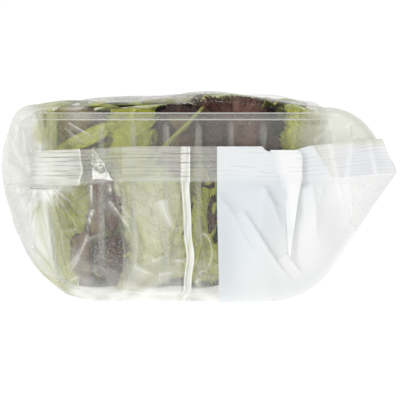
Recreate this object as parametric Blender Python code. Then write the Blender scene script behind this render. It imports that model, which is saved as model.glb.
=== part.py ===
"""Flow-wrapped tray of salad leaves, modelled as the sealed bag that it is.

A tube of film is drawn round a tray with sloping walls, pressed flat at both
ends and cut off.  The two end seals are folded up against the pack.  At the
front, the seal's left ear is folded back over itself, a pleat is caught in the
seal on the right, and the right ear stands out.  The tube's own lengthwise
seal runs up the middle of both ends.  Metres, +Z up, the front end at -Y, the
origin in the middle of the flat base.
"""

import math
from dataclasses import dataclass

import bmesh
import bpy
from mathutils import Vector
from mathutils.bvhtree import BVHTree

MM = 0.001

# The tray under the film, which shapes the middle of the pack.
FOOT_HALF_WIDTH = 60 * MM
RIM_HALF_WIDTH = 70.5 * MM
RIM_HEIGHT = 89.5 * MM
RIM_ROUND = 6 * MM
FOOT_ROUND = 7 * MM
TUBE_HALF_LENGTH = 85 * MM
RIM_REACH = 94.5 * MM
FOOT_REACH = 90 * MM
EDGE_SHARE = 0.05
FLARE_START = 30 * MM

# The heap of leaves, which pushes the film up in a low dome with uneven lumps.
HEAP_RISE = 6 * MM
END_RISE = 4 * MM
LUMP_HEIGHT = 1.3 * MM
LUMP_WAVE_X = 13 * MM
LUMP_WAVE_Y = 17 * MM
LUMP_WAVE_ACROSS = 21 * MM
LUMP_MARGIN = 25 * MM

# The end seals: two layers of film pressed together and folded up.
SEAL_HEIGHT = 57 * MM
SEAL_REACH = 98 * MM
SEAL_THICKNESS = 1 * MM
SEAL_BAND = 16.5 * MM
SEAL_LEAN = 1 * MM
SEAL_STEP = 0.4 * MM
CRIMP_DEPTH = 0.2 * MM
EAR_SHARE = 0.3
EAR_SETBACK = 3 * MM
EAR_TRIM = 7 * MM

# The film over both ends gathers into soft pleats: so many over the seal, so many under it.
GATHER_DEPTH = 1.1 * MM
GATHERS_OVER = 6
GATHERS_UNDER = 7

# Folded layers that lie on the ends: the left ear, the caught pleat and the lengthwise seal.
LAYER = 0.8 * MM
FLAP_LEFT = -70.2 * MM
FLAP_RIGHT = -46 * MM
FLAP_FOOT = 55.5 * MM
FLAP_TOP = 72 * MM
FLAP_CURVE = 1.8 * MM
FLAP_GAP = 0.4 * MM
PLEAT_LEFT = 42 * MM
PLEAT_RIGHT = 55 * MM
PLEAT_FOOT = 45 * MM
PLEAT_TOP = 70.5 * MM
PLEAT_FOOT_WIDTH = 3 * MM
PLEAT_PROUD = 1.9 * MM
FIN_MIDDLE = 1.8 * MM
FIN_WIDTH = 4.2 * MM
FIN_PROUD = 0.7 * MM
FIN_FOOT = 2 * MM
FIN_BOW = 2.3 * MM
FIN_BOW_HEIGHT = 21 * MM
FIN_BOW_SPREAD = 9 * MM

# Divisions of the mesh.
CORNER_STEPS = 6
SIDE_STEPS = 3
TOP_STEPS = 10
FLANK_STEPS = 5
BASE_STEPS = TOP_STEPS + 2 * (SIDE_STEPS - FLANK_STEPS)
HALF_RING = 3 * CORNER_STEPS + 2 * SIDE_STEPS + TOP_STEPS
TUBE_STEPS = 20
GATHER_STEPS = 12
BAND_STEPS = 7


@dataclass
class End:
    """One end of the pack: its outline where the film starts to gather, and its seal.

    Each pair holds the left side and the right side, as the front end is seen.
    """

    way: int
    tips: tuple
    tip_round: tuple
    shoulders: tuple
    shoulder_round: tuple
    feet: tuple
    foot_round: tuple
    seal_tips: tuple
    tip_rise: tuple


FRONT = End(
    way=-1,
    tips=((-87.5 * MM, 59 * MM), (100.5 * MM, 62.5 * MM)),
    tip_round=(30 * MM, 6 * MM),
    shoulders=((-77 * MM, 92.5 * MM), (80.5 * MM, 91 * MM)),
    shoulder_round=(9 * MM, 14 * MM),
    feet=((-66 * MM, 0), (60 * MM, 0)),
    foot_round=(24 * MM, 22 * MM),
    seal_tips=(-69 * MM, 99 * MM),
    tip_rise=(-2.5 * MM, 3.5 * MM),
)
BACK = End(
    way=1,
    tips=((-90 * MM, 62 * MM), (84 * MM, 60 * MM)),
    tip_round=(6 * MM, 20 * MM),
    shoulders=((-75 * MM, 90.5 * MM), (76 * MM, 91 * MM)),
    shoulder_round=(12 * MM, 10 * MM),
    feet=((-59 * MM, 0), (62 * MM, 0)),
    foot_round=(18 * MM, 22 * MM),
    seal_tips=(-93 * MM, 82 * MM),
    tip_rise=(2.5 * MM, 0),
)


def mix(a, b, t):
    return a + (b - a) * t


def mix2(a, b, t):
    return (mix(a[0], b[0], t), mix(a[1], b[1], t))


def ease(t):
    t = min(max(t, 0.0), 1.0)
    return t * t * (3 - 2 * t)


def step_from(point, towards, distance):
    """The place at a distance from a point on the way to another, at most half way."""
    length = math.hypot(towards[0] - point[0], towards[1] - point[1])
    return mix2(point, towards, min(distance / length, 0.49))


def ring(corners, rounds, swells, steps):
    """A closed outline through rounded corners, with sides that may swell outwards."""
    count = len(corners)
    outline = []
    for i, corner in enumerate(corners):
        following = (i + 1) % count
        before = step_from(corner, corners[i - 1], rounds[i])
        after = step_from(corner, corners[following], rounds[i])
        for j in range(CORNER_STEPS):
            t = j / CORNER_STEPS
            outline.append(mix2(mix2(before, corner, t), mix2(corner, after, t), t))
        goal = step_from(corners[following], corner, rounds[following])
        run_x = goal[0] - after[0]
        run_z = goal[1] - after[1]
        length = math.hypot(run_x, run_z)
        for j in range(steps[i]):
            t = j / steps[i]
            swell = swells[i] * 4 * t * (1 - t) / length
            x, z = mix2(after, goal, t)
            outline.append((x - run_z * swell, z + run_x * swell))
    half_corner = CORNER_STEPS // 2
    return outline[half_corner:] + outline[:half_corner]


def section(end, flare):
    """The film's outline across the pack, from the left tip over the top and back below."""
    slope = (RIM_HALF_WIDTH - FOOT_HALF_WIDTH) / RIM_HEIGHT
    sides = []
    for i, way in enumerate((-1, 1)):
        tip_height = end.tips[i][1]
        flank = FOOT_HALF_WIDTH + slope * tip_height
        sides.append({
            "tip": mix2((way * flank, tip_height), end.tips[i], flare),
            "shoulder": mix2((way * RIM_HALF_WIDTH, RIM_HEIGHT), end.shoulders[i], flare),
            "foot": mix2((way * FOOT_HALF_WIDTH, 0), end.feet[i], flare),
            "shoulder_round": mix(RIM_ROUND, end.shoulder_round[i], flare),
            "foot_round": mix(FOOT_ROUND, end.foot_round[i], flare),
        })
    left, right = sides
    return ring(
        (left["tip"], left["shoulder"], right["shoulder"], right["tip"], right["foot"], left["foot"]),
        (
            end.tip_round[0],
            left["shoulder_round"],
            right["shoulder_round"],
            end.tip_round[1],
            right["foot_round"],
            left["foot_round"],
        ),
        (0, mix(HEAP_RISE, END_RISE, flare), 0, 0, 0, 0),
        (SIDE_STEPS, TOP_STEPS, SIDE_STEPS, FLANK_STEPS, BASE_STEPS, FLANK_STEPS),
    )


def shares(outline):
    """How far along its half of the outline each point is, from 0 at the left tip to 1."""
    result = [0.0] * len(outline)
    for step in (1, -1):
        places = [(step * k) % len(outline) for k in range(HALF_RING + 1)]
        run = [0.0]
        for a, b in zip(places, places[1:]):
            run.append(run[-1] + math.dist(outline[a], outline[b]))
        for place, length in zip(places, run):
            result[place] = length / run[-1]
    return result


def lump(x, y, z):
    """Low uneven lumps over the heap of leaves, none at the pack's edges."""
    wave = math.sin(x / LUMP_WAVE_X + 0.3) * math.sin(y / LUMP_WAVE_Y + 0.4)
    wave += 0.6 * math.sin((x + 1.7 * y) / LUMP_WAVE_ACROSS)
    inside = ease((RIM_HALF_WIDTH - abs(x)) / LUMP_MARGIN)
    above = ease((z - RIM_HEIGHT) / (4 * MM) + 1.5)
    return LUMP_HEIGHT * wave * inside * above


def seal_place(end, share):
    """Where the film meets the seal: across the pack, out from it, and its height."""
    x = mix(end.seal_tips[0], end.seal_tips[1], share)
    to_left = ease((EAR_SHARE - share) / EAR_SHARE)
    to_right = ease((share - 1 + EAR_SHARE) / EAR_SHARE)
    setback = EAR_SETBACK * ease((share - 0.82) / 0.18)
    height = SEAL_HEIGHT + end.tip_rise[0] * to_left + end.tip_rise[1] * to_right
    return x, SEAL_REACH - setback, height


def gather_point(end, outline, share, index, t):
    """A point of the film that is drawn in over the tray's end, down to the seal."""
    x, z = outline[index]
    z += lump(x, end.way * TUBE_HALF_LENGTH, z)
    seal_x, seal_y, seal_z = seal_place(end, share)
    turn = mix(FOOT_REACH, RIM_REACH, ease(z / RIM_HEIGHT))
    over = index <= HALF_RING
    if over:
        seal_z += 0.3 * MM
        gather = 0.4 * GATHER_DEPTH * math.sin(share * 2 * math.pi * GATHERS_OVER + end.way)
    else:
        seal_z -= 0.3 * MM
        seal_y += SEAL_THICKNESS
        gather = GATHER_DEPTH * math.sin(share * 2 * math.pi * GATHERS_UNDER + end.way)
    reach = TUBE_HALF_LENGTH + (turn - TUBE_HALF_LENGTH) * (1 - math.exp(-t / EDGE_SHARE))
    reach += (seal_y - turn) * t + gather * 4 * t * (1 - t)
    return (mix(x, seal_x, t), end.way * reach, mix(z, seal_z, t))


def band_point(end, share, index, t):
    """A point of the folded-up seal band, t from its foot to its cut edge."""
    seal_x, seal_y, seal_z = seal_place(end, share)
    trim = EAR_TRIM * ease((share - 0.88) / 0.12) * t
    crimp = CRIMP_DEPTH * math.cos(t * BAND_STEPS * math.pi)
    layer = 0 if index < HALF_RING else SEAL_THICKNESS
    if index % HALF_RING == 0:
        crimp = 0
        layer = SEAL_THICKNESS / 2
    reach = seal_y + SEAL_STEP + layer + SEAL_LEAN * t + crimp
    return (seal_x - trim, end.way * reach, seal_z + SEAL_BAND * t)


def end_rows(end):
    """The rings of one end, from where the film starts to gather to the seal's cut edge."""
    outline = section(end, 1)
    share = shares(outline)
    around = range(2 * HALF_RING)
    rows = []
    for j in range(1, GATHER_STEPS + 1):
        t = (j / GATHER_STEPS) ** 1.6
        rows.append([gather_point(end, outline, share[i], i, t) for i in around])
    for j in range(1, BAND_STEPS + 1):
        rows.append([band_point(end, share[i], i, j / BAND_STEPS) for i in around])
    return rows


def tube_rows():
    """The rings between the ends, which flare out towards both."""
    rows = []
    for j in range(TUBE_STEPS + 1):
        y = mix(-TUBE_HALF_LENGTH, TUBE_HALF_LENGTH, j / TUBE_STEPS)
        flare = max((abs(y) - FLARE_START) / (TUBE_HALF_LENGTH - FLARE_START), 0) ** 1.3
        outline = section(FRONT if y < 0 else BACK, flare)
        rows.append([(x, y, z + lump(x, y, z)) for x, z in outline])
    return rows


def mapped_grid(across, along, place):
    """A grid whose vertices are moved to where place says, from their two step numbers."""
    bm = bmesh.new()
    bmesh.ops.create_grid(bm, x_segments=across, y_segments=along, size=1)
    for vert in bm.verts:
        i = round((vert.co.x + 1) / 2 * across)
        j = round((vert.co.y + 1) / 2 * along)
        vert.co = place(i, j)
    return bm


def close_cut_edge(bm, row):
    """Faces from the front layer to the back layer along one open end."""
    edge_verts = {vert for edge in bm.edges if edge.is_boundary for vert in edge.verts}
    around = [min(edge_verts, key=lambda vert: (vert.co - Vector(point)).length) for point in row]
    for k in range(len(row) // 2):
        corners = (around[k], around[k + 1], around[-k - 1], around[-k])
        bm.faces.new(dict.fromkeys(corners))


def rolled_mesh(rows):
    """A closed body from rings of points: a grid rolled into a tube and closed at both ends."""
    around = len(rows[0])
    bm = mapped_grid(around, len(rows) - 1, lambda i, j: rows[j][i % around])
    bmesh.ops.remove_doubles(bm, verts=bm.verts, dist=1e-7)
    close_cut_edge(bm, rows[0])
    close_cut_edge(bm, rows[-1])
    bmesh.ops.recalc_face_normals(bm, faces=bm.faces)
    return bm


def reach_of(surface, end, x, z):
    """How far out the bag's surface is at a place on one of its ends."""
    hit = surface.ray_cast(Vector((x, end.way * 2 * SEAL_REACH, z)), Vector((0, -end.way, 0)))
    return end.way * hit[0].y


def layer_mesh(end, across, along, place):
    """A folded layer of film; place gives x, z and the reach of its outer and inner face."""
    rows = []
    for j in range(along + 1):
        line = [place(i / across, j / along) for i in range(across + 1)]
        outer = [(x, end.way * out, z) for x, z, out, back in line]
        inner = [(x, end.way * back, z) for x, z, out, back in line]
        left, right = (Vector(outer[k]).lerp(Vector(inner[k]), 0.5) for k in (0, -1))
        rows.append([left] + outer[1:-1] + [right] + inner[-2:0:-1])
    return rolled_mesh(rows)


def ear_flap_mesh():
    """The front seal's left ear, turned back over the band round an upright fold."""
    def place(s, t):
        x = mix(FLAP_LEFT, FLAP_RIGHT, s) - FLAP_CURVE * s * (2 * t - 1) ** 2
        z = mix(FLAP_FOOT, FLAP_TOP - 2 * MM * (1 - s), t)
        band_face = SEAL_REACH + SEAL_STEP + SEAL_THICKNESS + CRIMP_DEPTH + SEAL_LEAN * t
        out = band_face + (FLAP_GAP + LAYER) * ease(s / 0.1)
        back = mix(band_face - SEAL_THICKNESS - FLAP_GAP, band_face + FLAP_GAP, ease((s - 0.05) / 0.15))
        return x, z, out, back

    return layer_mesh(FRONT, 10, 5, place)


def pleat_mesh(surface):
    """A pleat caught in the front seal: it rises from the left to a free fold on the right."""
    def place(s, t):
        right = PLEAT_RIGHT - 2 * MM * (1 - ease(2 * t))
        left = mix(PLEAT_RIGHT - 2 * MM - PLEAT_FOOT_WIDTH, PLEAT_LEFT, t)
        x = mix(left, right, s)
        z = mix(PLEAT_FOOT, PLEAT_TOP, t)
        face = reach_of(surface, FRONT, x, z)
        proud = PLEAT_PROUD * mix(0.6, 1, t)
        out = mix(face - 0.5 * LAYER, face + proud, s)
        back = mix(face - 0.8 * LAYER, face + proud - LAYER, ease((s - 0.4) / 0.4))
        return x, z, out, back

    return layer_mesh(FRONT, 6, 8, place)


def fin_mesh(surface, end):
    """The tube's lengthwise seal, lying up the middle of one end from the foot to the cut edge."""
    def place(s, t):
        z = mix(FIN_FOOT, SEAL_HEIGHT + SEAL_BAND - FIN_PROUD, t)
        bow = FIN_BOW * math.exp(-(((z - FIN_BOW_HEIGHT) / FIN_BOW_SPREAD) ** 2))
        x = -end.way * (FIN_MIDDLE + bow) + FIN_WIDTH * (s - 0.5)
        face = reach_of(surface, end, x, z)
        return x, z, face + FIN_PROUD, face - 0.5 * LAYER

    return layer_mesh(end, 4, 24, place)


def film_material():
    """Clear glossy film, tinted by the pale green leaves under it."""
    material = bpy.data.materials.new("clear_film")
    material.use_nodes = True
    shader = material.node_tree.nodes["Principled BSDF"]
    shader.inputs["Base Color"].default_value = (0.56, 0.60, 0.42, 1)
    shader.inputs["Roughness"].default_value = 0.2
    shader.inputs["Metallic"].default_value = 0
    return material


def add_object(name, bm, material):
    mesh = bpy.data.meshes.new(name)
    bm.to_mesh(mesh)
    bm.free()
    mesh.shade_smooth()
    mesh.set_sharp_from_angle(angle=math.radians(40))
    mesh.materials.append(material)
    made = bpy.data.objects.new(name, mesh)
    bpy.context.scene.collection.objects.link(made)
    return made


def unite(bag, name, bm, material):
    """Joins a folded layer to the bag, which it grows out of."""
    layer = add_object(name, bm, material)
    layer.hide_render = True
    layer.display_type = "WIRE"
    union = bag.modifiers.new(name, "BOOLEAN")
    union.operation = "UNION"
    union.object = layer


def main():
    for old in list(bpy.data.objects):
        bpy.data.objects.remove(old)
    film = film_material()
    wrap = rolled_mesh(end_rows(FRONT)[::-1] + tube_rows() + end_rows(BACK))
    surface = BVHTree.FromBMesh(wrap)
    bag = add_object("salad_bag", wrap, film)
    unite(bag, "ear_flap", ear_flap_mesh(), film)
    unite(bag, "pleat", pleat_mesh(surface), film)
    unite(bag, "front_fin", fin_mesh(surface, FRONT), film)
    unite(bag, "back_fin", fin_mesh(surface, BACK), film)


main()
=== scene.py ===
"""Looks of the flow-wrapped tray of salad leaves.

Clear film with crimped end seals and a white printed panel, drawn round a
ribbed clear tray that is heaped with green and red lettuce leaves.  Metres,
+Z up, the front end at -Y.
"""

import functools
import math

import bmesh
import bpy
import numpy as np
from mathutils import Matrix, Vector
from mathutils.bvhtree import BVHTree
from mathutils.geometry import delaunay_2d_cdt


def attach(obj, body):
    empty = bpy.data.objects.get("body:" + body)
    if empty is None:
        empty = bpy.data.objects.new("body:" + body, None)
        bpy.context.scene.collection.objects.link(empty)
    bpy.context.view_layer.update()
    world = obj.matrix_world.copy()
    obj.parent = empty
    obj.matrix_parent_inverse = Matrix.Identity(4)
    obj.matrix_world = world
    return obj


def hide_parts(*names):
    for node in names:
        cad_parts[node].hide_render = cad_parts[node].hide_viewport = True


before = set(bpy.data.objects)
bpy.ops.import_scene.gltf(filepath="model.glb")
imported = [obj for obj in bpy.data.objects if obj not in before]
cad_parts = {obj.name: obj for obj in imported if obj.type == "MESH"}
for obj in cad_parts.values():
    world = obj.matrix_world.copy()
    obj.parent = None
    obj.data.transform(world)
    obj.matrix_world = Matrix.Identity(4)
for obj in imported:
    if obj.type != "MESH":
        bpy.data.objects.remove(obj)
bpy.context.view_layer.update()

MM = 0.001

# The wrapped pack, with the same driving sizes as its solid.
FOOT_HALF_WIDTH = 60 * MM
RIM_HALF_WIDTH = 70.5 * MM
RIM_HEIGHT = 89.5 * MM
TUBE_HALF_LENGTH = 85 * MM
RIM_REACH = 94.5 * MM
FOOT_REACH = 90 * MM
SEAL_HEIGHT = 57 * MM
SEAL_REACH = 98 * MM
SEAL_BAND = 16.5 * MM
SEAL_GAP = 0.3 * MM
CRIMPS = 8
CRIMP_PITCH = 2.06 * MM
HEAP_RISE = 6 * MM
END_RISE = 4 * MM

# On the flat film, each end draws in this much before the seal, which runs on to the cut edge.
GATHER = 50 * MM
SEAL_START = TUBE_HALF_LENGTH + GATHER
SEAL_END = SEAL_START + SEAL_BAND

# The tray: outer half sizes at the foot and under the lip, and its ribs.
TRAY_FOOT = (60.3 * MM, 86 * MM)
TRAY_TOP = (68.1 * MM, 92 * MM)
TRAY_FOOT_HEIGHT = 6 * MM
TRAY_LEDGE = 85.6 * MM
TRAY_CORNER = 15 * MM
RIB_PITCH = 15 * MM
RIB_WIDTH = 2.2 * MM
RIB_DEPTH = 1.1 * MM
TRAY_FRONT_STEPS = 130
TRAY_SIDE_STEPS = 150
TRAY_CORNER_STEPS = 12


# ---------------------------------------------------------------- small maths

def mix(a, b, t):
    return a + (b - a) * t


def ease(t):
    t = np.clip(t, 0.0, 1.0)
    return t * t * (3 - 2 * t)


def bell(d):
    return np.exp(-d * d)


def waves(points, scale, seed, count=12):
    """Smooth uneven relief of about -1 to 1: waves of about one size in random directions."""
    rng = np.random.default_rng(seed)
    total = np.zeros(points.shape[:-1])
    for _ in range(count):
        way = rng.normal(size=points.shape[-1])
        way *= 2 * math.pi * rng.uniform(0.6, 1.5) / (scale * np.linalg.norm(way))
        total += np.sin(points @ way + rng.uniform(0, 2 * math.pi))
    return total / math.sqrt(count)


def flat_waves(x, z, scale, seed):
    return waves(np.stack((x, z), axis=1), scale, seed)


def facets(x, z, box, count, seed):
    """Flat facets between sharp creases, 0 to 1: a crumpled sheet, read at places x, z."""
    rng = np.random.default_rng(seed)
    low_x, low_z, high_x, high_z = box
    spots = [Vector((rng.uniform(low_x, high_x), rng.uniform(low_z, high_z))) for _ in range(count)]
    spots += [Vector(p) for p in ((low_x, low_z), (high_x, low_z), (high_x, high_z), (low_x, high_z))]
    made = delaunay_2d_cdt(spots, [], [], 0, 1e-6)
    heights = rng.uniform(0, 1, len(made[0]))
    tree = BVHTree.FromPolygons([(p.x, p.y, h) for p, h in zip(made[0], heights)], made[2])
    down = Vector((0, 0, -1))
    result = np.zeros(len(x))
    for k, (px, pz) in enumerate(zip(x, z)):
        hit = tree.ray_cast(Vector((px, pz, 9)), down)
        if hit[0] is not None:
            result[k] = hit[0].z
    return result


# ------------------------------------------------------------ making of meshes

def mesh_from(bm, name):
    mesh = bpy.data.meshes.new(name)
    bm.to_mesh(mesh)
    bm.free()
    return mesh


def vertex_vectors(mesh, kind):
    """Every vertex's place, where kind is co, or its normal."""
    flat = np.empty(len(mesh.vertices) * 3)
    mesh.vertices.foreach_get(kind, flat)
    return flat.reshape(-1, 3)


def grids(name, sizes):
    """A mesh of separate grids of given steps, and each one's places, 0 to 1 both ways."""
    bm = bmesh.new()
    for across, along in sizes:
        bmesh.ops.create_grid(bm, x_segments=across, y_segments=along, size=1)
    mesh = mesh_from(bm, name)
    places = (vertex_vectors(mesh, "co")[:, :2] + 1) / 2
    ends = np.cumsum([(across + 1) * (along + 1) for across, along in sizes])
    return mesh, [part.T for part in np.split(places, ends[:-1])]


def grid(name, across, along):
    mesh, ((u, v),) = grids(name, ((across, along),))
    return mesh, u, v


def whole_steps(share, steps):
    """Which of a grid's steps lies at each share of its way."""
    return np.round(share * steps).astype(int)


def set_points(mesh, points):
    mesh.vertices.foreach_set("co", np.ascontiguousarray(points, dtype=np.float32).ravel())
    mesh.update()


def set_uv(mesh, u, v):
    """The mesh's UV map, from one value pair for each vertex."""
    layer = mesh.uv_layers.new(name="flat")
    corner = np.empty(len(mesh.loops), dtype=np.int32)
    mesh.loops.foreach_get("vertex_index", corner)
    pairs = np.stack((np.ravel(u)[corner], np.ravel(v)[corner]), axis=1)
    layer.data.foreach_set("uv", pairs.astype(np.float32).ravel())


def set_value(mesh, name, values):
    """A number at each vertex, which the materials read by its name."""
    layer = mesh.attributes.new(name, "FLOAT", "POINT")
    layer.data.foreach_set("value", np.ascontiguousarray(values, dtype=np.float32).ravel())


def rolled(name, rings, values, across):
    """A mesh over rings of points; also its points, each one's value in values and its ring."""
    along = len(rings) - 1
    mesh, u, v = grid(name, across, along)
    i = whole_steps(u, across) % rings.shape[1]
    j = whole_steps(v, along)
    points = rings[j, i]
    set_points(mesh, points)
    return mesh, points, values[j, i], j


def piece(mesh, finish, merge=True, outward=True):
    """The finished object: doubles merged, faces outwards, attached to the pack's one body."""
    bm = bmesh.new()
    bm.from_mesh(mesh)
    if merge:
        bmesh.ops.remove_doubles(bm, verts=bm.verts, dist=1e-7)
    if outward:
        bmesh.ops.recalc_face_normals(bm, faces=bm.faces)
    bm.to_mesh(mesh)
    bm.free()
    mesh.shade_smooth()
    mesh.materials.append(finish)
    made = bpy.data.objects.new(mesh.name, mesh)
    bpy.context.scene.collection.objects.link(made)
    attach(made, "root")
    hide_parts("salad_bag")
    return made


# ------------------------------------------------------------------- materials

# How much a clear sheet mirrors face on.
FACE_ON_SHINE = 0.012


class Wire:
    """An output of a node; sums with it add Math nodes."""

    def __init__(self, nodes, socket):
        self.nodes = nodes
        self.socket = socket

    def __add__(self, other):
        return self.nodes.maths("ADD", self, other)

    def __radd__(self, other):
        return self.nodes.maths("ADD", other, self)

    def __sub__(self, other):
        return self.nodes.maths("SUBTRACT", self, other)

    def __rsub__(self, other):
        return self.nodes.maths("SUBTRACT", other, self)

    def __mul__(self, other):
        return self.nodes.maths("MULTIPLY", self, other)

    def __rmul__(self, other):
        return self.nodes.maths("MULTIPLY", other, self)

    def __truediv__(self, other):
        return self.nodes.maths("DIVIDE", self, other)

    def __pow__(self, other):
        return self.nodes.maths("POWER", self, other)


class Nodes:
    """A tree of shader nodes in the making."""

    def __init__(self, tree):
        self.tree = tree

    def node(self, kind, settings=None, values=None, out=0):
        """Adds a node: its settings first, then the values or links of its inputs."""
        made = self.tree.nodes.new("ShaderNode" + kind)
        for key, value in (settings or {}).items():
            if key == "stops":
                self.set_stops(made.color_ramp, value)
            else:
                setattr(made, key, value)
        for key, value in (values or {}).items():
            if isinstance(value, Wire):
                self.tree.links.new(value.socket, made.inputs[key])
            else:
                made.inputs[key].default_value = value
        return Wire(self, made.outputs[out])

    def set_stops(self, ramp, stops):
        while len(ramp.elements) < len(stops):
            ramp.elements.new(1)
        for element, (place, tone) in zip(ramp.elements, stops):
            element.position = place
            element.color = tone

    def maths(self, operation, *inputs):
        return self.node("Math", {"operation": operation}, dict(enumerate(inputs)))

    def split(self, vector):
        made = self.node("SeparateXYZ", values={0: vector})
        outputs = made.socket.node.outputs
        return [Wire(self, outputs[k]) for k in range(3)]

    def step(self, value, low, high):
        """0 below low, 1 above high, and smooth between."""
        ends = {"Value": value, "From Min": low, "From Max": high}
        return self.node("MapRange", {"interpolation_type": "SMOOTHSTEP"}, ends)

    def run(self, value, low, high, a, b):
        """From a at low to b at high in a straight run, and steady outside."""
        ends = {"Value": value, "From Min": low, "From Max": high, "To Min": a, "To Max": b}
        return self.node("MapRange", values=ends)

    def blend(self, share, a, b):
        """Colour a where share is 0, b where it is 1."""
        return self.node("Mix", {"data_type": "RGBA"}, {0: share, 6: a, 7: b}, out=2)


class Look(Nodes):
    """A material in the making."""

    def __init__(self, name):
        self.material = bpy.data.materials.new(name)
        self.material.use_nodes = True
        super().__init__(self.material.node_tree)
        self.tree.nodes.clear()

    def value(self, name):
        return self.node("Attribute", {"attribute_name": name}, out="Fac")

    def place(self):
        return self.node("TexCoord", out="Object")

    def flat(self):
        return self.node("UVMap", {"uv_map": "flat"})

    def noise(self, place, scale, detail=2, **more):
        return self.node("TexNoise", values={"Vector": place, "Scale": scale, "Detail": detail, **more})

    def bump(self, height, distance, strength):
        return self.node("Bump", values={"Height": height, "Distance": distance, "Strength": strength})

    def body(self, tone, roughness, bump):
        """An opaque surface, dull or glossy by its roughness."""
        values = {"Base Color": tone, "Roughness": roughness, "Normal": bump}
        return self.node("BsdfPrincipled", values=values)

    def clear_sheet(self, tint, roughness, bump, most):
        """Thin clear sheet: see-through face on, and mirroring up to most at a glance."""
        clear = self.node("BsdfTransparent", values={"Color": tint})
        shine = self.node("BsdfAnisotropic", values={"Roughness": roughness, "Normal": bump})
        facing = self.node("LayerWeight", values={"Blend": 0.5, "Normal": bump}, out="Facing")
        mirrored = (facing ** 6 * 0.55 + facing ** 30 * 0.4) * most + FACE_ON_SHINE
        return self.shader_mix(mirrored, clear, shine)

    def shader_mix(self, share, a, b):
        return self.node("MixShader", values={0: share, 1: a, 2: b})

    def done(self, shader):
        output = self.tree.nodes.new("ShaderNodeOutputMaterial")
        self.tree.links.new(shader.socket, output.inputs["Surface"])
        return self.material


def colour(code):
    """A linear colour from its usual code of six hexadecimal digits."""
    parts = [int(code[k:k + 2], 16) / 255 for k in (0, 2, 4)]
    linear = [c / 12.92 if c <= 0.04045 else ((c + 0.055) / 1.055) ** 2.4 for c in parts]
    return (*linear, 1.0)


def film_shader(look, bump, cloud_and_highlight):
    """Clear glossy sheet, milky where its share is high; the milk's tone is painted part by part: greyer at
    the left and over the top as painted shade and painted grazing reflection, greenish and beige where
    leaves lie behind, and whiter at the right ear as painted light.
    """
    across, _, height = look.split(look.place())
    left = look.step(across, -60 * MM, -72 * MM) * look.run(height, 48 * MM, 60 * MM, 1, 0.5)
    above = look.step(height, 90 * MM, 93 * MM) * look.step(across, 50 * MM, 20 * MM)
    by_leaves = look.step(across, -71 * MM, -65 * MM) * look.step(across, -48 * MM, -56 * MM)
    clear_of_ear = look.step(height, 51 * MM, 42 * MM) + look.step(height, 73 * MM, 77 * MM)
    right = look.step(across, 48 * MM, 60 * MM) * look.step(height, 73 * MM, 78 * MM)
    right_ear = look.step(across, 62 * MM, 78 * MM) * look.step(height, 75 * MM, 72 * MM)
    tone = colour("F6F6F0")
    # Painted light in the milk's tone: the grey at the left and over the top stands for shade and grazing
    # reflection, and the whiter right ear for light.
    for share, code in (
        (look.maths("MAXIMUM", left, above), "C6C7C0"),
        (by_leaves * clear_of_ear, "BEC190"),
        (right, "E2E2D4"),
        (right_ear, "F9FAFC"),
    ):
        tone = look.blend(share, tone, colour(code))
    glossy = look.clear_sheet((0.94, 0.943, 0.935, 1), 0.09, bump, 1.0)
    return look.shader_mix(cloud_and_highlight, glossy, look.body(tone, 0.3, bump))


def crimp_shade_lines(look, along, place):
    """Painted shade of the thin broken crimps that the sealing jaws press into both ends."""
    way = look.maths("ABSOLUTE", along)
    wander = look.noise(place, 55, 1)
    depth = (way - SEAL_START + (wander - 0.5) * 1.6 * MM) / CRIMP_PITCH
    wave = look.maths("PINGPONG", depth, 0.5) * 2
    drawn = look.node("VectorMath", {"operation": "MULTIPLY"}, {0: place, 1: (60, 60, 420)})
    broken = look.step(look.noise(drawn, 1), 0.44, 0.6)
    return look.step(wave, 0.6, 0.9) * broken * look.step(way, SEAL_START + 1 * MM, SEAL_START + 2 * MM)


def film_look(name, printed):
    """Clear glossy film: see-through, with a sheen, hazy where it is creased or doubled; its haze carries
    painted highlights on the creases, and the crimps carry painted shade.
    """
    look = Look(name)
    place = look.place()
    bump = look.bump(look.noise(place, 90), 0.5 * MM, 0.2)
    girth, along, _ = look.split(look.flat())
    lines = crimp_shade_lines(look, along, place)
    across, _, _ = look.split(place)
    # The crimps' painted shade thins the milk along them.
    cloud_and_highlight = look.value("haze") * (1 - lines * look.run(across, 10 * MM, 50 * MM, 0.65, 0.15))
    if not printed:
        return look.done(film_shader(look, bump, cloud_and_highlight))
    blur = 0.1 * MM
    lap = look.step(girth, LAP_LEFT - blur, LAP_LEFT + blur)
    lap = lap * look.step(girth, LAP_RIGHT + blur, LAP_RIGHT - blur)
    right = PRINT_RIGHT - look.run(along, -TUBE_HALF_LENGTH, -SEAL_START, 0, 11 * MM)
    right = right - look.run(along, -SEAL_START, -SEAL_END, 0, 15 * MM)
    left = PRINT_LEFT + look.run(along, -125 * MM, -TUBE_HALF_LENGTH, 0, 1.3 * MM)
    edge = 0.3 * MM
    inside = (
        look.step(girth - left, -0.12 * MM, 0.12 * MM)
        * look.step(girth - right, edge, -edge)
        * look.step(along, PRINT_BACK + edge, PRINT_BACK - edge)
    )
    ink = ink_shader(look, along, bump, lines)
    film = film_shader(look, bump, cloud_and_highlight + lap * 0.14)
    return look.done(look.shader_mix(inside * 0.97, film, ink))


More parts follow.
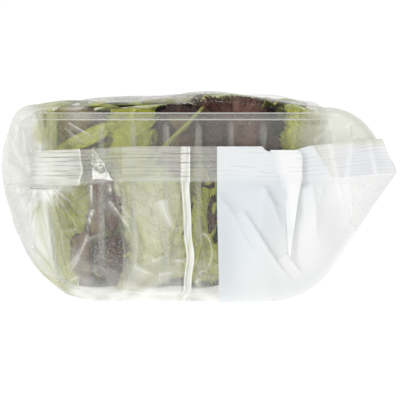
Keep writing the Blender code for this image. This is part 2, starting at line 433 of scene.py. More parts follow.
def ink_shader(look, along, bump, lines, lit=0.0):
    """White print with painted shade: greyer and faintly blue at its lower left and greyer at its foot;
    lightest in the seal, with a painted highlight where lit is 1.
    """
    across, _, height = look.split(look.place())
    way = look.maths("ABSOLUTE", along)
    band = look.step(way, SEAL_START - 2 * MM, SEAL_START + 3 * MM) * 0.55
    # Painted shade: the print turns darker and bluer towards its lower left.
    unshaded = look.step(across - height * 0.7, -6 * MM, 45 * MM)
    share = look.maths("MAXIMUM", unshaded, band) + lit
    tone = look.blend(look.step(share, 0.0, 1.0), colour("DFE5E9"), colour("F3F4F3"))
    # Painted shade of the crimps, darkening the print in thin broken lines.
    tone = look.blend(lines * 0.22, tone, colour("A4A9AC"))
    # Painted shade: the print greys towards its foot.
    tone = look.blend(look.step(height, 26 * MM, 2 * MM) * 0.24, tone, colour("D3D7DA"))
    return look.body(tone, 0.38, bump)


def ink_look():
    """The printed pleat: all ink, with a painted highlight where it stands proud."""
    look = Look("printed_fold")
    place = look.place()
    _, along, _ = look.split(look.flat())
    lines = crimp_shade_lines(look, along, place)
    bump = look.bump(look.noise(place, 90), 0.4 * MM, 0.2)
    return look.done(ink_shader(look, along, bump, lines, look.value("haze")))


def tray_look():
    """Clear thermoformed plastic, cloudy on its ribs and lip, white along the painted highlights of its rib
    edges and lip, with a mist of fine beads on it.
    """
    look = Look("clear_tray")
    place = look.place()
    haze = look.value("haze")
    bump = look.bump(look.noise(place, 45), 0.4 * MM, 0.4)
    # Whiter where the values carry painted highlights of the rib edges and lip.
    tone = look.blend(look.step(haze, 0.2, 0.6), colour("E0E1DB"), colour("FFFFFF"))
    glossy = look.clear_sheet((0.975, 0.978, 0.97, 1), 0.1, bump, 0.35)
    across, _, height = look.split(place)
    patches = look.step(look.noise(place, 38, 1), 0.4, 0.52)
    beads = look.step(look.noise(place, 1500, 0), 0.6, 0.7)
    low = look.run(height, 50 * MM, 62 * MM, 0.34, 0.07)
    mist = beads * patches * low * look.run(across, -12 * MM, -2 * MM, 1, 0.5)
    return look.done(look.shader_mix(haze + mist, glossy, look.body(tone, 0.35, bump)))


def droplet_look():
    """Beads of condensed water: clear, bright where they catch the light."""
    look = Look("condensation")
    bead = look.node("LayerWeight", values={"Blend": 0.35}, out="Facing")
    clear = look.node("BsdfTransparent", values={"Color": (0.97, 0.97, 0.97, 1)})
    wet = look.node("BsdfPrincipled", values={"Base Color": (0.85, 0.87, 0.86, 1), "Roughness": 0.08})
    return look.done(look.shader_mix(bead * 0.7 + 0.25, clear, wet))


def leaf_look(name, stops, pale, vein, edge, hollow_shade):
    """A lettuce blade: its tone by leaf, paler along the midrib, veined and mottled, with painted shade in
    the hollows between its clumps.
    """
    look = Look(name)
    place = look.place()
    flat = look.flat()
    across, along, _ = look.split(flat)
    side = look.maths("ABSOLUTE", across)
    slant = (along - side * 0.9) * 150 + look.noise(flat, 90) * 1.2
    side_vein = look.step(look.maths("PINGPONG", slant, 0.5) * 2, 0.78, 1.0)
    midrib = look.step(side, 2.2 * MM, 0.4 * MM)
    net = look.node("TexVoronoi", {"feature": "DISTANCE_TO_EDGE"}, {"Vector": flat, "Scale": 300})
    cells = look.step(net, 0.0, 0.22)
    clumps = look.noise(place, 210, 3, Roughness=0.6)
    mottle = look.noise(place, 60, 5)
    rim = look.value("rim")
    shade = look.value("shade") + (mottle - 0.5) * 0.9 + (clumps - 0.5) * 0.7
    body = look.node("ValToRGB", {"stops": [(at, colour(code)) for at, code in stops]}, {0: shade})
    for share, code in (
        (look.step(rim, 0.55, 1.0) * 0.7, edge),
        (look.value("pale") * (1 - rim * 0.7), pale),
        ((midrib * 0.7 + side_vein * 0.3) * (1 - rim * 0.6), vein),
        # Painted shade: the darkest tone in the hollows between the clumps, most at the margin.
        (look.step(clumps, 0.42, 0.3) * (0.25 + rim * 0.5), hollow_shade),
    ):
        body = look.blend(share, body, colour(code))
    height = midrib * 0.8 + side_vein * 0.5 + cells * 0.3 + clumps * 0.8
    return look.done(look.body(body, 0.42 + mottle * 0.2, look.bump(height, 1.0 * MM, 0.7)))


# Painted shade: a near-black to olive block that stands for the shaded leaves deep in the heap.
def shaded_core_look():
    look = Look("shaded_leaf_core")
    patch = look.noise(look.place(), 60, 5)
    stops = [(0.35, colour("20160F")), (0.5, colour("33331A")), (0.68, colour("5E6A22"))]
    tone = look.node("ValToRGB", {"stops": stops}, {0: patch})
    return look.done(look.body(tone, 0.6, look.bump(patch, 3 * MM, 1)))


def stalk_look():
    look = Look("stalk")
    grain = look.noise(look.place(), 240)
    tone = look.blend(grain, colour("9A9E3C"), colour("BBBE66"))
    return look.done(look.body(tone, 0.4, look.bump(grain, 0.3 * MM, 0.5)))


# ------------------------------------------------------------------- the film

# The flat film: from its middle below, the print's left and right edges and the lap beside the
# fin; the print's far edge under the floor; how far along the upper half and folded layers are put.
PRINT_LEFT = 16.1 * MM
PRINT_RIGHT = 95 * MM
PRINT_BACK = 62 * MM
LAP_LEFT = -27.6 * MM
LAP_RIGHT = -0.6 * MM
UPPER_HALF = 1.0
FOLDED_LAYERS = 10.0

# How each ring of the film is divided, from its left tip over the top and back below.
CORNER_STEPS = 32
SIDE_STEPS = 10
TOP_STEPS = 236
FLANK_STEPS = 60
BASE_STEPS = TOP_STEPS + 2 * (SIDE_STEPS - FLANK_STEPS)
HALF_RING = 3 * CORNER_STEPS + 2 * SIDE_STEPS + TOP_STEPS
AROUND = 2 * HALF_RING
TUBE_STEPS = 90

# Creases that fan out from each seal, and the share of its way in which the film turns down.
END_CREASES = 46
TURN = 0.05

FRONT = {
    "way": -1,
    "tips": ((-87.5 * MM, 59 * MM), (100.5 * MM, 62.5 * MM)),
    "tip_round": (30 * MM, 6 * MM),
    "shoulders": ((-77 * MM, 92.5 * MM), (80.5 * MM, 91 * MM)),
    "shoulder_round": (9 * MM, 14 * MM),
    "feet": ((-64 * MM, 0), (60 * MM, 0)),
    "foot_round": (33 * MM, 22 * MM),
    "seal_tips": (-69 * MM, 99 * MM),
    "tip_rise": (-2.5 * MM, 3.5 * MM),
}
BACK = {
    "way": 1,
    "tips": ((-90 * MM, 62 * MM), (84 * MM, 60 * MM)),
    "tip_round": (6 * MM, 20 * MM),
    "shoulders": ((-75 * MM, 90.5 * MM), (76 * MM, 91 * MM)),
    "shoulder_round": (12 * MM, 10 * MM),
    "feet": ((-59 * MM, 0), (62 * MM, 0)),
    "foot_round": (18 * MM, 22 * MM),
    "seal_tips": (-93 * MM, 82 * MM),
    "tip_rise": (2.5 * MM, 0),
}


def step_from(point, towards, distance):
    run = towards - point
    return point + run * min(distance / np.linalg.norm(run), 0.49)


def ring(corners, rounds, swells, steps):
    """A closed outline through rounded corners, with sides that may swell outwards."""
    corners = [np.array(c, float) for c in corners]
    count = len(corners)
    outline = []
    turn = (np.arange(CORNER_STEPS) / CORNER_STEPS)[:, None]
    for i, corner in enumerate(corners):
        following = (i + 1) % count
        before = step_from(corner, corners[i - 1], rounds[i])
        after = step_from(corner, corners[following], rounds[i])
        outline.append(mix(mix(before, corner, turn), mix(corner, after, turn), turn))
        goal = step_from(corners[following], corner, rounds[following])
        run = goal - after
        outward = np.array((-run[1], run[0])) / np.linalg.norm(run)
        t = (np.arange(steps[i]) / steps[i])[:, None]
        outline.append(mix(after, goal, t) + outward * swells[i] * 4 * t * (1 - t))
    outline = np.concatenate(outline)
    return np.roll(outline, -(CORNER_STEPS // 2), axis=0)


def section(end, flare):
    """The film's outline across the pack, from the left tip over the top and back below."""
    slope = (RIM_HALF_WIDTH - FOOT_HALF_WIDTH) / RIM_HEIGHT
    late = flare ** 2
    sides = []
    for i, way in enumerate((-1, 1)):
        tip = np.array(end["tips"][i])
        flank = np.array((way * (FOOT_HALF_WIDTH + slope * tip[1]), tip[1]))
        rim = np.array((way * RIM_HALF_WIDTH, RIM_HEIGHT))
        foot = np.array((way * FOOT_HALF_WIDTH, 0))
        sides.append((
            mix(flank, tip, flare),
            mix(rim, np.array(end["shoulders"][i]), flare),
            mix(foot, np.array(end["feet"][i]), late),
            mix(2.5 * MM, end["shoulder_round"][i], flare),
            mix(6 * MM, end["foot_round"][i], late),
        ))
    left, right = sides
    return ring(
        (left[0], left[1], right[1], right[0], right[2], left[2]),
        (end["tip_round"][0], left[3], right[3], end["tip_round"][1], right[4], left[4]),
        (0, mix(HEAP_RISE, END_RISE, flare), 0, 0, 0, 0),
        (SIDE_STEPS, TOP_STEPS, SIDE_STEPS, FLANK_STEPS, BASE_STEPS, FLANK_STEPS),
    )


def lump(x, y, z):
    """Low uneven lumps over the heap of leaves, none at the pack's edges."""
    wave = np.sin(x / (13 * MM) + 0.3) * np.sin(y / (17 * MM) + 0.4)
    wave = wave + 0.6 * np.sin((x + 1.7 * y) / (21 * MM))
    inside = ease((RIM_HALF_WIDTH - np.abs(x)) / (25 * MM))
    above = ease((z - RIM_HEIGHT) / (4 * MM) + 1.5)
    mound = bell((x - 18 * MM) / (24 * MM)) * bell((y + 74 * MM) / (24 * MM))
    valley = bell((x + 16 * MM) / (20 * MM)) * ease((y + 70 * MM) / (30 * MM))
    return (1.3 * MM * wave * (1 - mound) + 2.3 * MM * mound - 1.3 * MM * valley) * inside * above


def girths(outline):
    """Each point's way along the film from the left tip, over the top and under the base."""
    lengths = np.linalg.norm(np.diff(outline, axis=0, append=outline[:1]), axis=1)
    run = np.concatenate(([0], np.cumsum(lengths)))
    over = run[:HALF_RING + 1]
    under = run[-1] - run[HALF_RING:AROUND]
    return over, under


def film_shares(end, outline):
    """For each point: where it meets the seal across the pack, and its flat place on the film."""
    over, under = girths(outline)
    low, high = end["seal_tips"]
    straight = 45 * MM
    seal_x = np.empty(AROUND)
    flat_u = np.empty(AROUND)
    for lengths, places, lower in (
        (over, np.arange(HALF_RING + 1), False),
        (under, np.arange(HALF_RING, AROUND), True),
    ):
        x = outline[places, 0]
        order = np.argsort(lengths)
        left = np.interp(-straight, x[order], lengths[order])
        right = np.interp(straight, x[order], lengths[order])
        total = lengths.max()
        met = np.interp(lengths, (0, left, right, total), (low, -straight, straight, high))
        seal_x[places] = met
        middle = np.interp(0, x[order], lengths[order])
        flat_u[places] = lengths - middle if lower else lengths - middle + UPPER_HALF
    return seal_x, flat_u


def seal_share(end, x):
    """How far along the seal a place is, from its left tip."""
    low, high = end["seal_tips"]
    return (x - low) / (high - low)


def seal_place(end, x):
    """The seal's reach and height at a place across the pack."""
    share = seal_share(end, x)
    left_rise, right_rise = end["tip_rise"]
    rise = left_rise * ease((0.3 - share) / 0.3) + right_rise * ease((share - 0.7) / 0.3)
    setback = 3 * MM * ease((share - 0.82) / 0.18)
    return SEAL_REACH - setback, SEAL_HEIGHT + rise


def crimp_depth(x):
    """Depth of the jaws' ripple, slighter towards the right tip."""
    return (mix(0.14, 0.05, ease((x - 6 * MM) / (8 * MM))) - 0.03 * ease((x - 60 * MM) / (8 * MM))) * MM


def ripple(x, t):
    """The jaws' ripple across the seal's band, at t of the way up it."""
    return crimp_depth(x) * np.cos(t * CRIMPS * 2 * math.pi)


def turned_over(t):
    """How far the film has turned down over the tray's end at t of its way to the seal."""
    return 1 - np.exp(-t / TURN)


def end_rows(end, gather_steps, band_steps):
    """Rings of one end of the film: drawn in over the tray, then the folded-up seal."""
    way = end["way"]
    outline = section(end, 1)
    seal_x, flat_u = film_shares(end, outline)
    x, z = outline.T
    z = z + lump(x, way * TUBE_HALF_LENGTH, z)
    over = np.arange(AROUND) <= HALF_RING
    tip = np.arange(AROUND) % HALF_RING == 0
    seal_y, seal_z = seal_place(end, seal_x)
    share = seal_share(end, seal_x)
    meet_z = seal_z + np.where(over, 0.3 * MM, -0.3 * MM)
    meet_y = seal_y + np.where(over, 0.1 * MM, SEAL_GAP)
    turn = mix(FOOT_REACH, RIM_REACH, ease(z / RIM_HEIGHT))
    wave = np.where(over, 0.4 * np.sin(share * 37.7 + way), np.sin(share * 44 + way))
    rows, uvs = [], []

    def add(x, reach, z, along):
        rows.append(np.stack((x, way * reach, z), axis=1))
        uvs.append(np.stack((flat_u, np.full(AROUND, way * along)), axis=1))

    for j in range(gather_steps + 1):
        t = (j / gather_steps) ** 1.35
        reach = TUBE_HALF_LENGTH + (turn - TUBE_HALF_LENGTH) * turned_over(t)
        reach = reach + (meet_y - turn) * t
        reach = reach + 0.9 * MM * wave * 4 * t * (1 - t)
        add(mix(x, seal_x, t), reach, mix(z, meet_z, t), TUBE_HALF_LENGTH + GATHER * t)
    trim, dip = 0, 0
    if end is FRONT:
        trim = 7 * MM * ease((share - 0.88) / 0.12)
        dip = 2.2 * MM * ease((seal_x - 36.5 * MM) / (2.5 * MM)) * ease((60 * MM - seal_x) / (12 * MM))
    layer = 0.4 * MM + np.where(over, 0, SEAL_GAP)
    layer[tip] = 0.4 * MM + SEAL_GAP / 2
    for j in range(1, band_steps + 1):
        t = j / band_steps
        reach = seal_y + layer + 1.0 * MM * t + ripple(seal_x, t) * ~tip
        add(seal_x - trim * t, reach, seal_z + (SEAL_BAND - dip) * t, SEAL_START + SEAL_BAND * t)
    return np.array(rows), np.array(uvs)


def flare_at(y):
    """How far the film's section has changed from the tray's towards the seal's."""
    start = 30 * MM
    return np.clip((np.abs(y) - start) / (TUBE_HALF_LENGTH - start), 0, 1) ** 1.3


def tube_rows(steps):
    """Rings of the film between its two ends."""
    rows, uvs = [], []
    for j in range(steps + 1):
        y = mix(-TUBE_HALF_LENGTH, TUBE_HALF_LENGTH, j / steps)
        end = FRONT if y < 0 else BACK
        outline = section(end, flare_at(y))
        x, z = outline.T
        _, flat_u = film_shares(end, outline)
        rows.append(np.stack((x, np.full(AROUND, y), z + lump(x, y, z)), axis=1))
        uvs.append(np.stack((flat_u, np.full(AROUND, y)), axis=1))
    return np.array(rows), np.array(uvs)


def crease_relief(x, z, creases):
    """Folds along nearly straight creases, sharp on one side: how far they stand out, and their haze, which
    paints a highlight along each crease and over its gentle side.
    """
    height = np.zeros(len(x))
    haze = np.zeros(len(x))
    for x0, z0, x1, z1, width, rise, cloud_and_highlight in creases:
        run = np.array((x1 - x0, z1 - z0)) * MM
        length = np.linalg.norm(run)
        dx, dz = x - x0 * MM, z - z0 * MM
        along = (dx * run[0] + dz * run[1]) / length ** 2
        bend = 0.05 * length * np.sin(along * 3 + x0)
        off = ((dx * run[1] - dz * run[0]) / length + bend) / (width * MM)
        off = off * (0.6 + 0.9 * np.clip(along, 0, 1))
        ends = ease(along / 0.1 + 0.5) * ease((1 - along) / 0.6 + 0.1)
        gentle, steep = np.maximum(off, 0), np.minimum(off, 0)
        height += rise * MM * np.exp(steep / 0.55 - gentle / 2.4) * ends
        veil_and_light = 0.4 * np.exp(-gentle / 2.0) * (off > 0)
        haze = np.maximum(haze, cloud_and_highlight * ends * (veil_and_light + 0.75 * bell(off / 0.5)))
    return height, haze


def fan_creases(end, count, seed):
    """Random creases that run from the end's seal out over the film, in its flat millimetres."""
    rng = np.random.default_rng(seed)
    creases = []
    for _ in range(count):
        over = rng.random() < 0.5
        u = rng.uniform(-140, 140) + (UPPER_HALF / MM if over else 0)
        length = rng.uniform(14, 62)
        creases.append((
            u, end["way"] * 136, u + rng.normal(0, 0.22) * length, end["way"] * (136 - length),
            rng.uniform(0.8, 2.2), rng.uniform(0.2, 0.7), rng.uniform(0.05, 0.28),
        ))
    return creases


def long_creases(count, seed):
    """Random slack folds of the film between the ends, in its flat millimetres."""
    rng = np.random.default_rng(seed)
    creases = []
    for _ in range(count):
        u = rng.uniform(-150, 150) + (UPPER_HALF / MM if rng.random() < 0.6 else 0)
        v = rng.uniform(-85, 85)
        angle = rng.normal(math.pi / 2, 0.8)
        reach = rng.uniform(10, 34)
        creases.append((
            u, v, u + reach * math.cos(angle), v + reach * math.sin(angle),
            rng.uniform(1.0, 3.0), rng.uniform(0.15, 0.5), rng.uniform(0.04, 0.16),
        ))
    return creases


# Creases of the front in millimetres: from x, z to x, z, then width, rise and haze, the haze also painting
# the crease's highlight.
LEFT_CREASES = (
    (-69, 56, -80, 47, 0.8, 0.9, 0.45),
    (-69, 55, -77, 36, 0.9, 0.9, 0.45),
    (-68, 55, -71, 26, 0.9, 0.8, 0.5),
    (-67, 54, -66, 16, 1.0, 0.9, 0.35),
    (-65, 54, -61, 12, 0.8, 0.6, 0.3),
    (-63, 54, -55, 30, 0.7, 0.7, 0.5),
    (-60, 56, -48, 46, 0.9, 0.6, 0.5),
    (-78, 40, -68, 18, 0.6, 0.6, 0.5),
    (-74, 26, -60, 8, 0.8, 0.6, 0.5),
    (-66, 14, -40, 4, 0.9, 0.6, 0.4),
    (-56, 57, -59, 46, 1.2, 0.7, 0.5),
    (-52, 57, -62, 49, 0.8, 0.8, 0.55),
    (-48, 22, -53, 11, 0.7, 0.6, 0.45),
    (-53, 11, -46, 14, 0.6, 0.5, 0.4),
    (-27, 55, -26.5, 8, 0.5, 0.25, 0.2),
    (-8.5, 49, -3, 32, 3.0, 0.2, 0.5),
    (-14, 21, -2.5, 24, 0.7, 0.5, 0.3),
    (-42.5, 57, -40.5, 44.2, 0.7, 0.8, 0.7),
    (-40.5, 44.2, -43.7, 32.7, 0.7, 0.8, 0.65),
    (-43.7, 32.7, -53, 14.3, 0.8, 0.8, 0.5),
    (-33, 57, -32.4, 48.8, 0.6, 0.8, 0.6),
    (-32.4, 48.8, -23.9, 32.7, 0.8, 0.8, 0.55),
    (-30.8, 56.6, -27.6, 46.5, 0.9, 0.6, 0.35),
    (-27.6, 46.5, -22.5, 38.6, 1.0, 0.5, 0.3),
    (-62, 58, -57.5, 35, 1.3, 1.0, 0.4),
    (-57.5, 35, -44.6, 34, 0.9, 0.6, 0.3),
    (-61, 54, -44.6, 33.5, 0.7, 0.9, 0.5),
    (-64, 55, -51, 38, 1.6, 0.6, 0.28),
    (-69, 56, -62, 25, 1.2, 0.8, 0.3),
    (-73, 50, -64, 18, 1.4, 0.7, 0.25),
    (-69, 27, -57, 9, 1.0, 0.8, 0.4),
    (-54, 16, -44, 30, 0.8, 0.6, 0.35),
    (-44, 30, -36, 33, 0.9, 0.5, 0.25),
    (-60, 10, -30, 7, 1.2, 0.6, 0.3),
    (-66, 35, -58, 18, 0.9, 0.6, 0.25),
    (-79, 58, -70, 40, 1.6, 0.6, 0.2),
    (-22, 18, -11, 13.5, 1.8, 0.7, 0.3),
    (-11, 13.5, -3, 15.5, 1.6, 0.6, 0.3),
    (-3.2, 20.3, 5.5, 22.2, 0.5, 0.6, 0.45),
    (5.2, 18.5, 8.3, 23, 0.5, 0.5, 0.35),
    (8, 14.5, 13.5, 17.5, 0.7, 0.5, 0.4),
    (6, 10, 9, 12, 1.0, 0.5, 0.5),
    (-28, 6.5, 14, 7.5, 0.8, 0.5, 0.3),
)
UPPER_CREASES = (
    (-75, 88.6, -64, 89.6, 0.5, 0.2, 0.5),
    (-74, 85.2, -64, 86.2, 0.5, 0.2, 0.4),
    (-69, 60, -84, 70, 1.0, 0.9, 0.45),
    (-69, 61, -80, 80, 1.2, 0.9, 0.45),
    (-68, 62, -75, 88, 1.0, 0.8, 0.45),
    (-66, 64, -66, 86, 0.9, 0.6, 0.35),
    (-78, 74, -74, 90, 0.7, 0.6, 0.45),
    (-84, 66, -79, 84, 0.8, 0.6, 0.4),
    (92, 64, 76, 84, 1.2, 0.7, 0.25),
    (94, 66, 84, 80, 0.8, 0.5, 0.2),
    (60, 76, 74, 88, 1.4, 0.5, 0.15),
    (-51.5, 85, -38.6, 75, 0.7, 0.7, 0.45),
    (-53.5, 82, -43, 74.5, 0.9, 0.6, 0.3),
    (-60, 84, -52, 75, 1.2, 0.6, 0.25),
    (-66, 82, -61, 74, 1.2, 0.6, 0.2),
    (-72, 80, -64, 64, 1.6, 0.7, 0.22),
    (68, 72.5, 69, 66.7, 0.9, 0.6, 0.4),
    (76.4, 82.8, 84, 84.2, 1.0, 0.6, 0.35),
    (76.4, 82.8, 78.6, 76.4, 1.0, 0.6, 0.35),
    (80, 78, 88, 66, 1.5, 0.5, 0.15),
    (66, 84, 72, 74, 1.4, 0.5, 0.15),
)
PANEL_CREASES = (
    (38, 53, 47, 34, 1.6, 1.1, 0),
    (36.5, 57.5, 42, 48.5, 1.2, 0.8, 0),
    (27, 42, 54, 10, 1.2, 1.3, 0),
    (22, 47, 37, 20, 3.0, 0.7, 0),
    (17.5, 52, 24.5, 39, 2.0, 0.6, 0),
    (48.8, 24, 56, 12.5, 1.6, 1.0, 0),
    (41, 50, 46.5, 44, 1.0, 0.6, 0),
    (58, 58, 65, 28, 2.4, 0.9, 0),
    (66, 58, 62, 30, 2.0, 0.7, 0),
    (70.5, 58.5, 76, 44, 1.6, 0.7, 0.2),
    (76, 56, 79, 40, 1.6, 0.7, 0.2),
    (83, 55, 74, 30, 2.2, 0.7, 0.1),
)


def left_edge(z):
    """Where the slack film beside the tray's left begins, at a height."""
    return mix(-60 * MM, -66 * MM, z / RIM_HEIGHT)


def ear_cloud_and_highlight(x, z):
    """Haze of the slack film beside the tray, with soft streaks of painted highlight that lean with the
    ears.
    """
    left = ease((left_edge(z) - x) / (8 * MM))
    right = ease((x - 60 * MM) / (12 * MM))
    streak = flat_waves(x + z * 0.25, z * 0.22, 13 * MM, 21)
    streak += 0.5 * flat_waves(x + z * 0.25, z * 0.3, 6 * MM, 22)
    return left * (0.18 + 0.09 * np.clip(streak, -0.8, 2.5)) + right * (0.26 + 0.05 * np.clip(streak, -1, 2))


def roof_cloud_and_reflection(x, y, z):
    """Haze of the slack film over the front of the heap, most at its left, partly a painted grazing
    reflection.
    """
    outer = ease((-38 * MM - x) / (12 * MM))
    left = ease((10 * MM - x) / (12 * MM)) * mix(0.36, 0.42, outer)
    right = 0.3 * ease((x - 42 * MM) / (8 * MM)) + 0.2 * ease((x - 54 * MM) / (8 * MM))
    mottled = 1 + 0.3 * flat_waves(x, y * 0.5, 9 * MM, 61)
    above = ease((z - mix(92.3 * MM, 89 * MM, outer)) / (1.6 * MM))
    return (left + right) * mottled * above * ease((-28 * MM - y) / (30 * MM))


def half_ring(rows, lower):
    """The upper or lower half of each ring, with twice the points across."""
    start = HALF_RING if lower else 0
    chosen = rows[:, np.arange(start, start + HALF_RING + 1) % AROUND]
    between = (chosen[:, :-1] + chosen[:, 1:]) / 2
    fine = np.empty((len(rows), 2 * HALF_RING + 1, rows.shape[2]))
    fine[:, 0::2] = chosen
    fine[:, 1::2] = between
    return fine


def left_slack(x, z):
    """The crumpled slack film beside the tray's left: its extent, how far it stands out, and its haze, with
    painted shading that changes facet by facet.
    """
    extent = ease((left_edge(z) - x) / (7 * MM))
    box = (-90 * MM, 0, -36 * MM, 92 * MM)
    rough = facets(x, z, box, 34, 5)
    # Painted shading: a second facet field sets the haze of each facet.
    tone = facets(x, z, box, 18, 6)
    dx, dz = x + 60 * MM, z - 51 * MM
    fan = flat_waves(np.arctan2(dz, dx) * 30 * MM, np.hypot(dx, dz) * 0.2, 17 * MM, 62)
    return extent, 3.0 * MM * rough + 0.7 * MM * fan, 0.62 * tone ** 2 - 0.11 + 0.09 * fan


def soft_spot(x, z, middle_x, middle_z, half_x, half_z):
    """A soft round patch, 1 in its middle; its place and size in millimetres."""
    return bell((x / MM - middle_x) / half_x) * bell((z / MM - middle_z) / half_z)


def front_haze_and_light(x, z):
    """Haze over all of the front: along the tray's left wall and under the left ear as painted light over
    dark reflection and shade, and beside the left ear.
    """
    wall = bell((x + mix(61 * MM, 67 * MM, z / RIM_HEIGHT)) / (4 * MM)) * ease((86 * MM - z) / (3 * MM))
    wall = wall * mix(0.22, 0.5, ease((z - 70 * MM) / (6 * MM)))
    under_ear = bell((z - 54 * MM) / (2.5 * MM)) * ease((-47 * MM - x) / (6 * MM))
    gather = soft_spot(x, z, -65, 50, 5.5, 5)
    fold = soft_spot(x, z, -69, 60, 6, 8)
    return wall + 0.4 * under_ear + 0.5 * gather + 0.5 * fold


def under_haze_and_light(x, z):
    """Haze of the front below its seal, wrinkled where it is drawn under the foot, low down partly painted
    light over the shade of the tray's foot, with a painted highlight round a loop of film right of the fin.
    """
    wrinkled = flat_waves(x * 0.35, z, 5 * MM, 63)
    veil_and_light = ease((24 * MM - x) / (6 * MM)) * ease((30 * MM - z) / (22 * MM)) * (0.22 + 0.07 * wrinkled)
    foot = ease((9 * MM - z) / (5 * MM)) * (0.45 + 0.12 * wrinkled)
    left = 0.12 * soft_spot(x, z, -39, 44, 9, 14) + 0.14 * soft_spot(x, z, -51, 20, 7, 9)
    soft = flat_waves(x, z * 0.6, 16 * MM, 44) * (np.abs(x) < 62 * MM)
    around_loop = np.hypot((x - 9.9 * MM) / (3.9 * MM), (z - 24.3 * MM) / (8.4 * MM))
    # Painted highlight: a bright ring round a loop of film.
    loop_highlight = 0.4 * bell((around_loop - 1) / 0.08) + 0.06 * ease((1 - around_loop) / 0.2)
    loop_highlight = loop_highlight * ease((x - 6.5 * MM) / (5 * MM)) * ease((z - 15 * MM) / (5 * MM))
    return veil_and_light + foot + left + 0.05 * np.clip(soft, 0, 2) + loop_highlight


def over_haze_and_highlight(x, z):
    """Haze of the front above its seal: painted highlights along the tray's rim, and milkier towards the
    right ear.
    """
    rim = bell((z - 87.6 * MM) / (1.9 * MM)) * ease((-22 * MM - x) / (34 * MM))
    rim_end = bell((z - 88.6 * MM) / (3.4 * MM)) * ease((x - 54 * MM) / (8 * MM))
    right = ease((x - 48 * MM) / (14 * MM)) * mix(1, 0.2, ease((z - 82 * MM) / (3 * MM)))
    before_tray = ease((88 * MM - z) / (2 * MM))
    return 0.3 * rim + 0.4 * rim_end + 0.32 * right + 0.07 * before_tray


def band_haze_and_highlight(x, z):
    """The front seal's own haze, most in its ears, with painted highlights along their folds."""
    haze = 0.5 * ease((x - 56 * MM) / (12 * MM)) + 0.2 * ease((-44 * MM - x) / (6 * MM))
    # Painted highlights along the folds of the right ear.
    for fold_x, lean in ((69.5, 0.2), (76.5, -0.1), (88, 0.25)):
        haze = haze + 0.3 * bell((x - fold_x * MM + lean * (z - 66 * MM)) / (1.1 * MM))
    return haze


def make_film(end, name, gather_steps, band_steps, look, lower):
    """Half of one end's film, over or under the seal."""
    rows, uvs = (half_ring(r, lower) for r in end_rows(end, gather_steps, band_steps))
    mesh, points, flat, j = rolled(name, rows, uvs, rows.shape[1] - 1)
    x, y, z = points.T
    in_band = j > gather_steps
    rise, cloud_and_highlight = crease_relief(*flat.T, fan_creases(end, END_CREASES, 7 + end["way"]))
    haze = np.maximum(0.02, cloud_and_highlight)
    band = 0.21 + 0.05 * np.cos(j * 1.7 + waves(points, 40 * MM, 3))
    if end is FRONT:
        gentle = mix(0.3, 0.5, ease((-55 * MM - x) / (10 * MM))) - 0.22 * ease((x - 52 * MM) / (10 * MM))
        more, drawn = crease_relief(x, z, LEFT_CREASES + PANEL_CREASES if lower else UPPER_CREASES)
        extent, slack_rise, slack_haze = left_slack(x, z)
        rise = (rise * gentle + more) * mix(1, 0.6, extent) + slack_rise * extent
        haze = np.maximum(np.maximum(0.01, cloud_and_highlight * gentle), drawn) + slack_haze * extent
        haze = haze + front_haze_and_light(x, z)
        haze = haze + (under_haze_and_light(x, z) if lower else over_haze_and_highlight(x, z) + roof_cloud_and_reflection(x, y, z))
        band = (band + band_haze_and_highlight(x, z)) * ease((x + 69 * MM) / (7 * MM))
    haze = np.where(in_band, band, haze + ear_cloud_and_highlight(x, z))
    calm = np.where(in_band, 0.0, np.clip((gather_steps - j) / 4, 0, 1)) * ease(j / 5)
    points[:, 1] += end["way"] * rise * calm
    set_points(mesh, points)
    set_uv(mesh, flat[:, 0], flat[:, 1])
    set_value(mesh, "haze", np.clip(haze, 0, 0.9))
    piece(mesh, look)


def make_tube(look):
    """The film between its ends, round the tray's sides, over the heap and under the floor."""
    rows, uvs = tube_rows(TUBE_STEPS)
    mesh, points, flat, _ = rolled("film_tube", rows, uvs, AROUND)
    x, y, z = points.T
    creases = long_creases(60, 12)
    for end in (FRONT, BACK):
        creases += fan_creases(end, END_CREASES, 7 + end["way"])
    rise, cloud_and_highlight = crease_relief(*flat.T, creases)
    gentle = mix(0.3, 1, ease((y + 70 * MM) / (30 * MM)))
    rise, cloud_and_highlight = rise * gentle, cloud_and_highlight * gentle
    normals = vertex_vectors(mesh, "normal")
    outward = (points - np.array((0, 0, 45 * MM))) * (1, 0, 1)
    way = np.sign((normals * outward).sum(axis=1).mean())
    fade = ease((TUBE_HALF_LENGTH - np.abs(y)) / (6 * MM)) * ease(z / (6 * MM))
    calm = mix(1, 0.35, ease((z - RIM_HEIGHT) / (2 * MM)) * ease(-y / (40 * MM)))
    set_points(mesh, points + normals * way * (rise * fade * calm)[:, None])
    slack = ear_cloud_and_highlight(x, z) * ease((np.abs(y) - 55 * MM) / (30 * MM))
    set_uv(mesh, flat[:, 0], flat[:, 1])
    set_value(mesh, "haze", np.maximum(0.02, cloud_and_highlight) + slack + roof_cloud_and_reflection(x, y, z))
    piece(mesh, look)


def up_band(z):
    """How far up the seal's band a height is."""
    return (z - SEAL_HEIGHT) / SEAL_BAND


def face_reach(z):
    """How far out the film's front and back hang under the seal, at the middle."""
    t = np.clip(z / (SEAL_HEIGHT - 0.3 * MM), 0, 1)
    reach = TUBE_HALF_LENGTH + (FOOT_REACH - TUBE_HALF_LENGTH) * turned_over(t)
    reach = reach + (SEAL_REACH + SEAL_GAP - FOOT_REACH) * t
    band = SEAL_REACH + 0.7 * MM + up_band(z) * 1.0 * MM
    return np.where(z > SEAL_HEIGHT, band, reach)


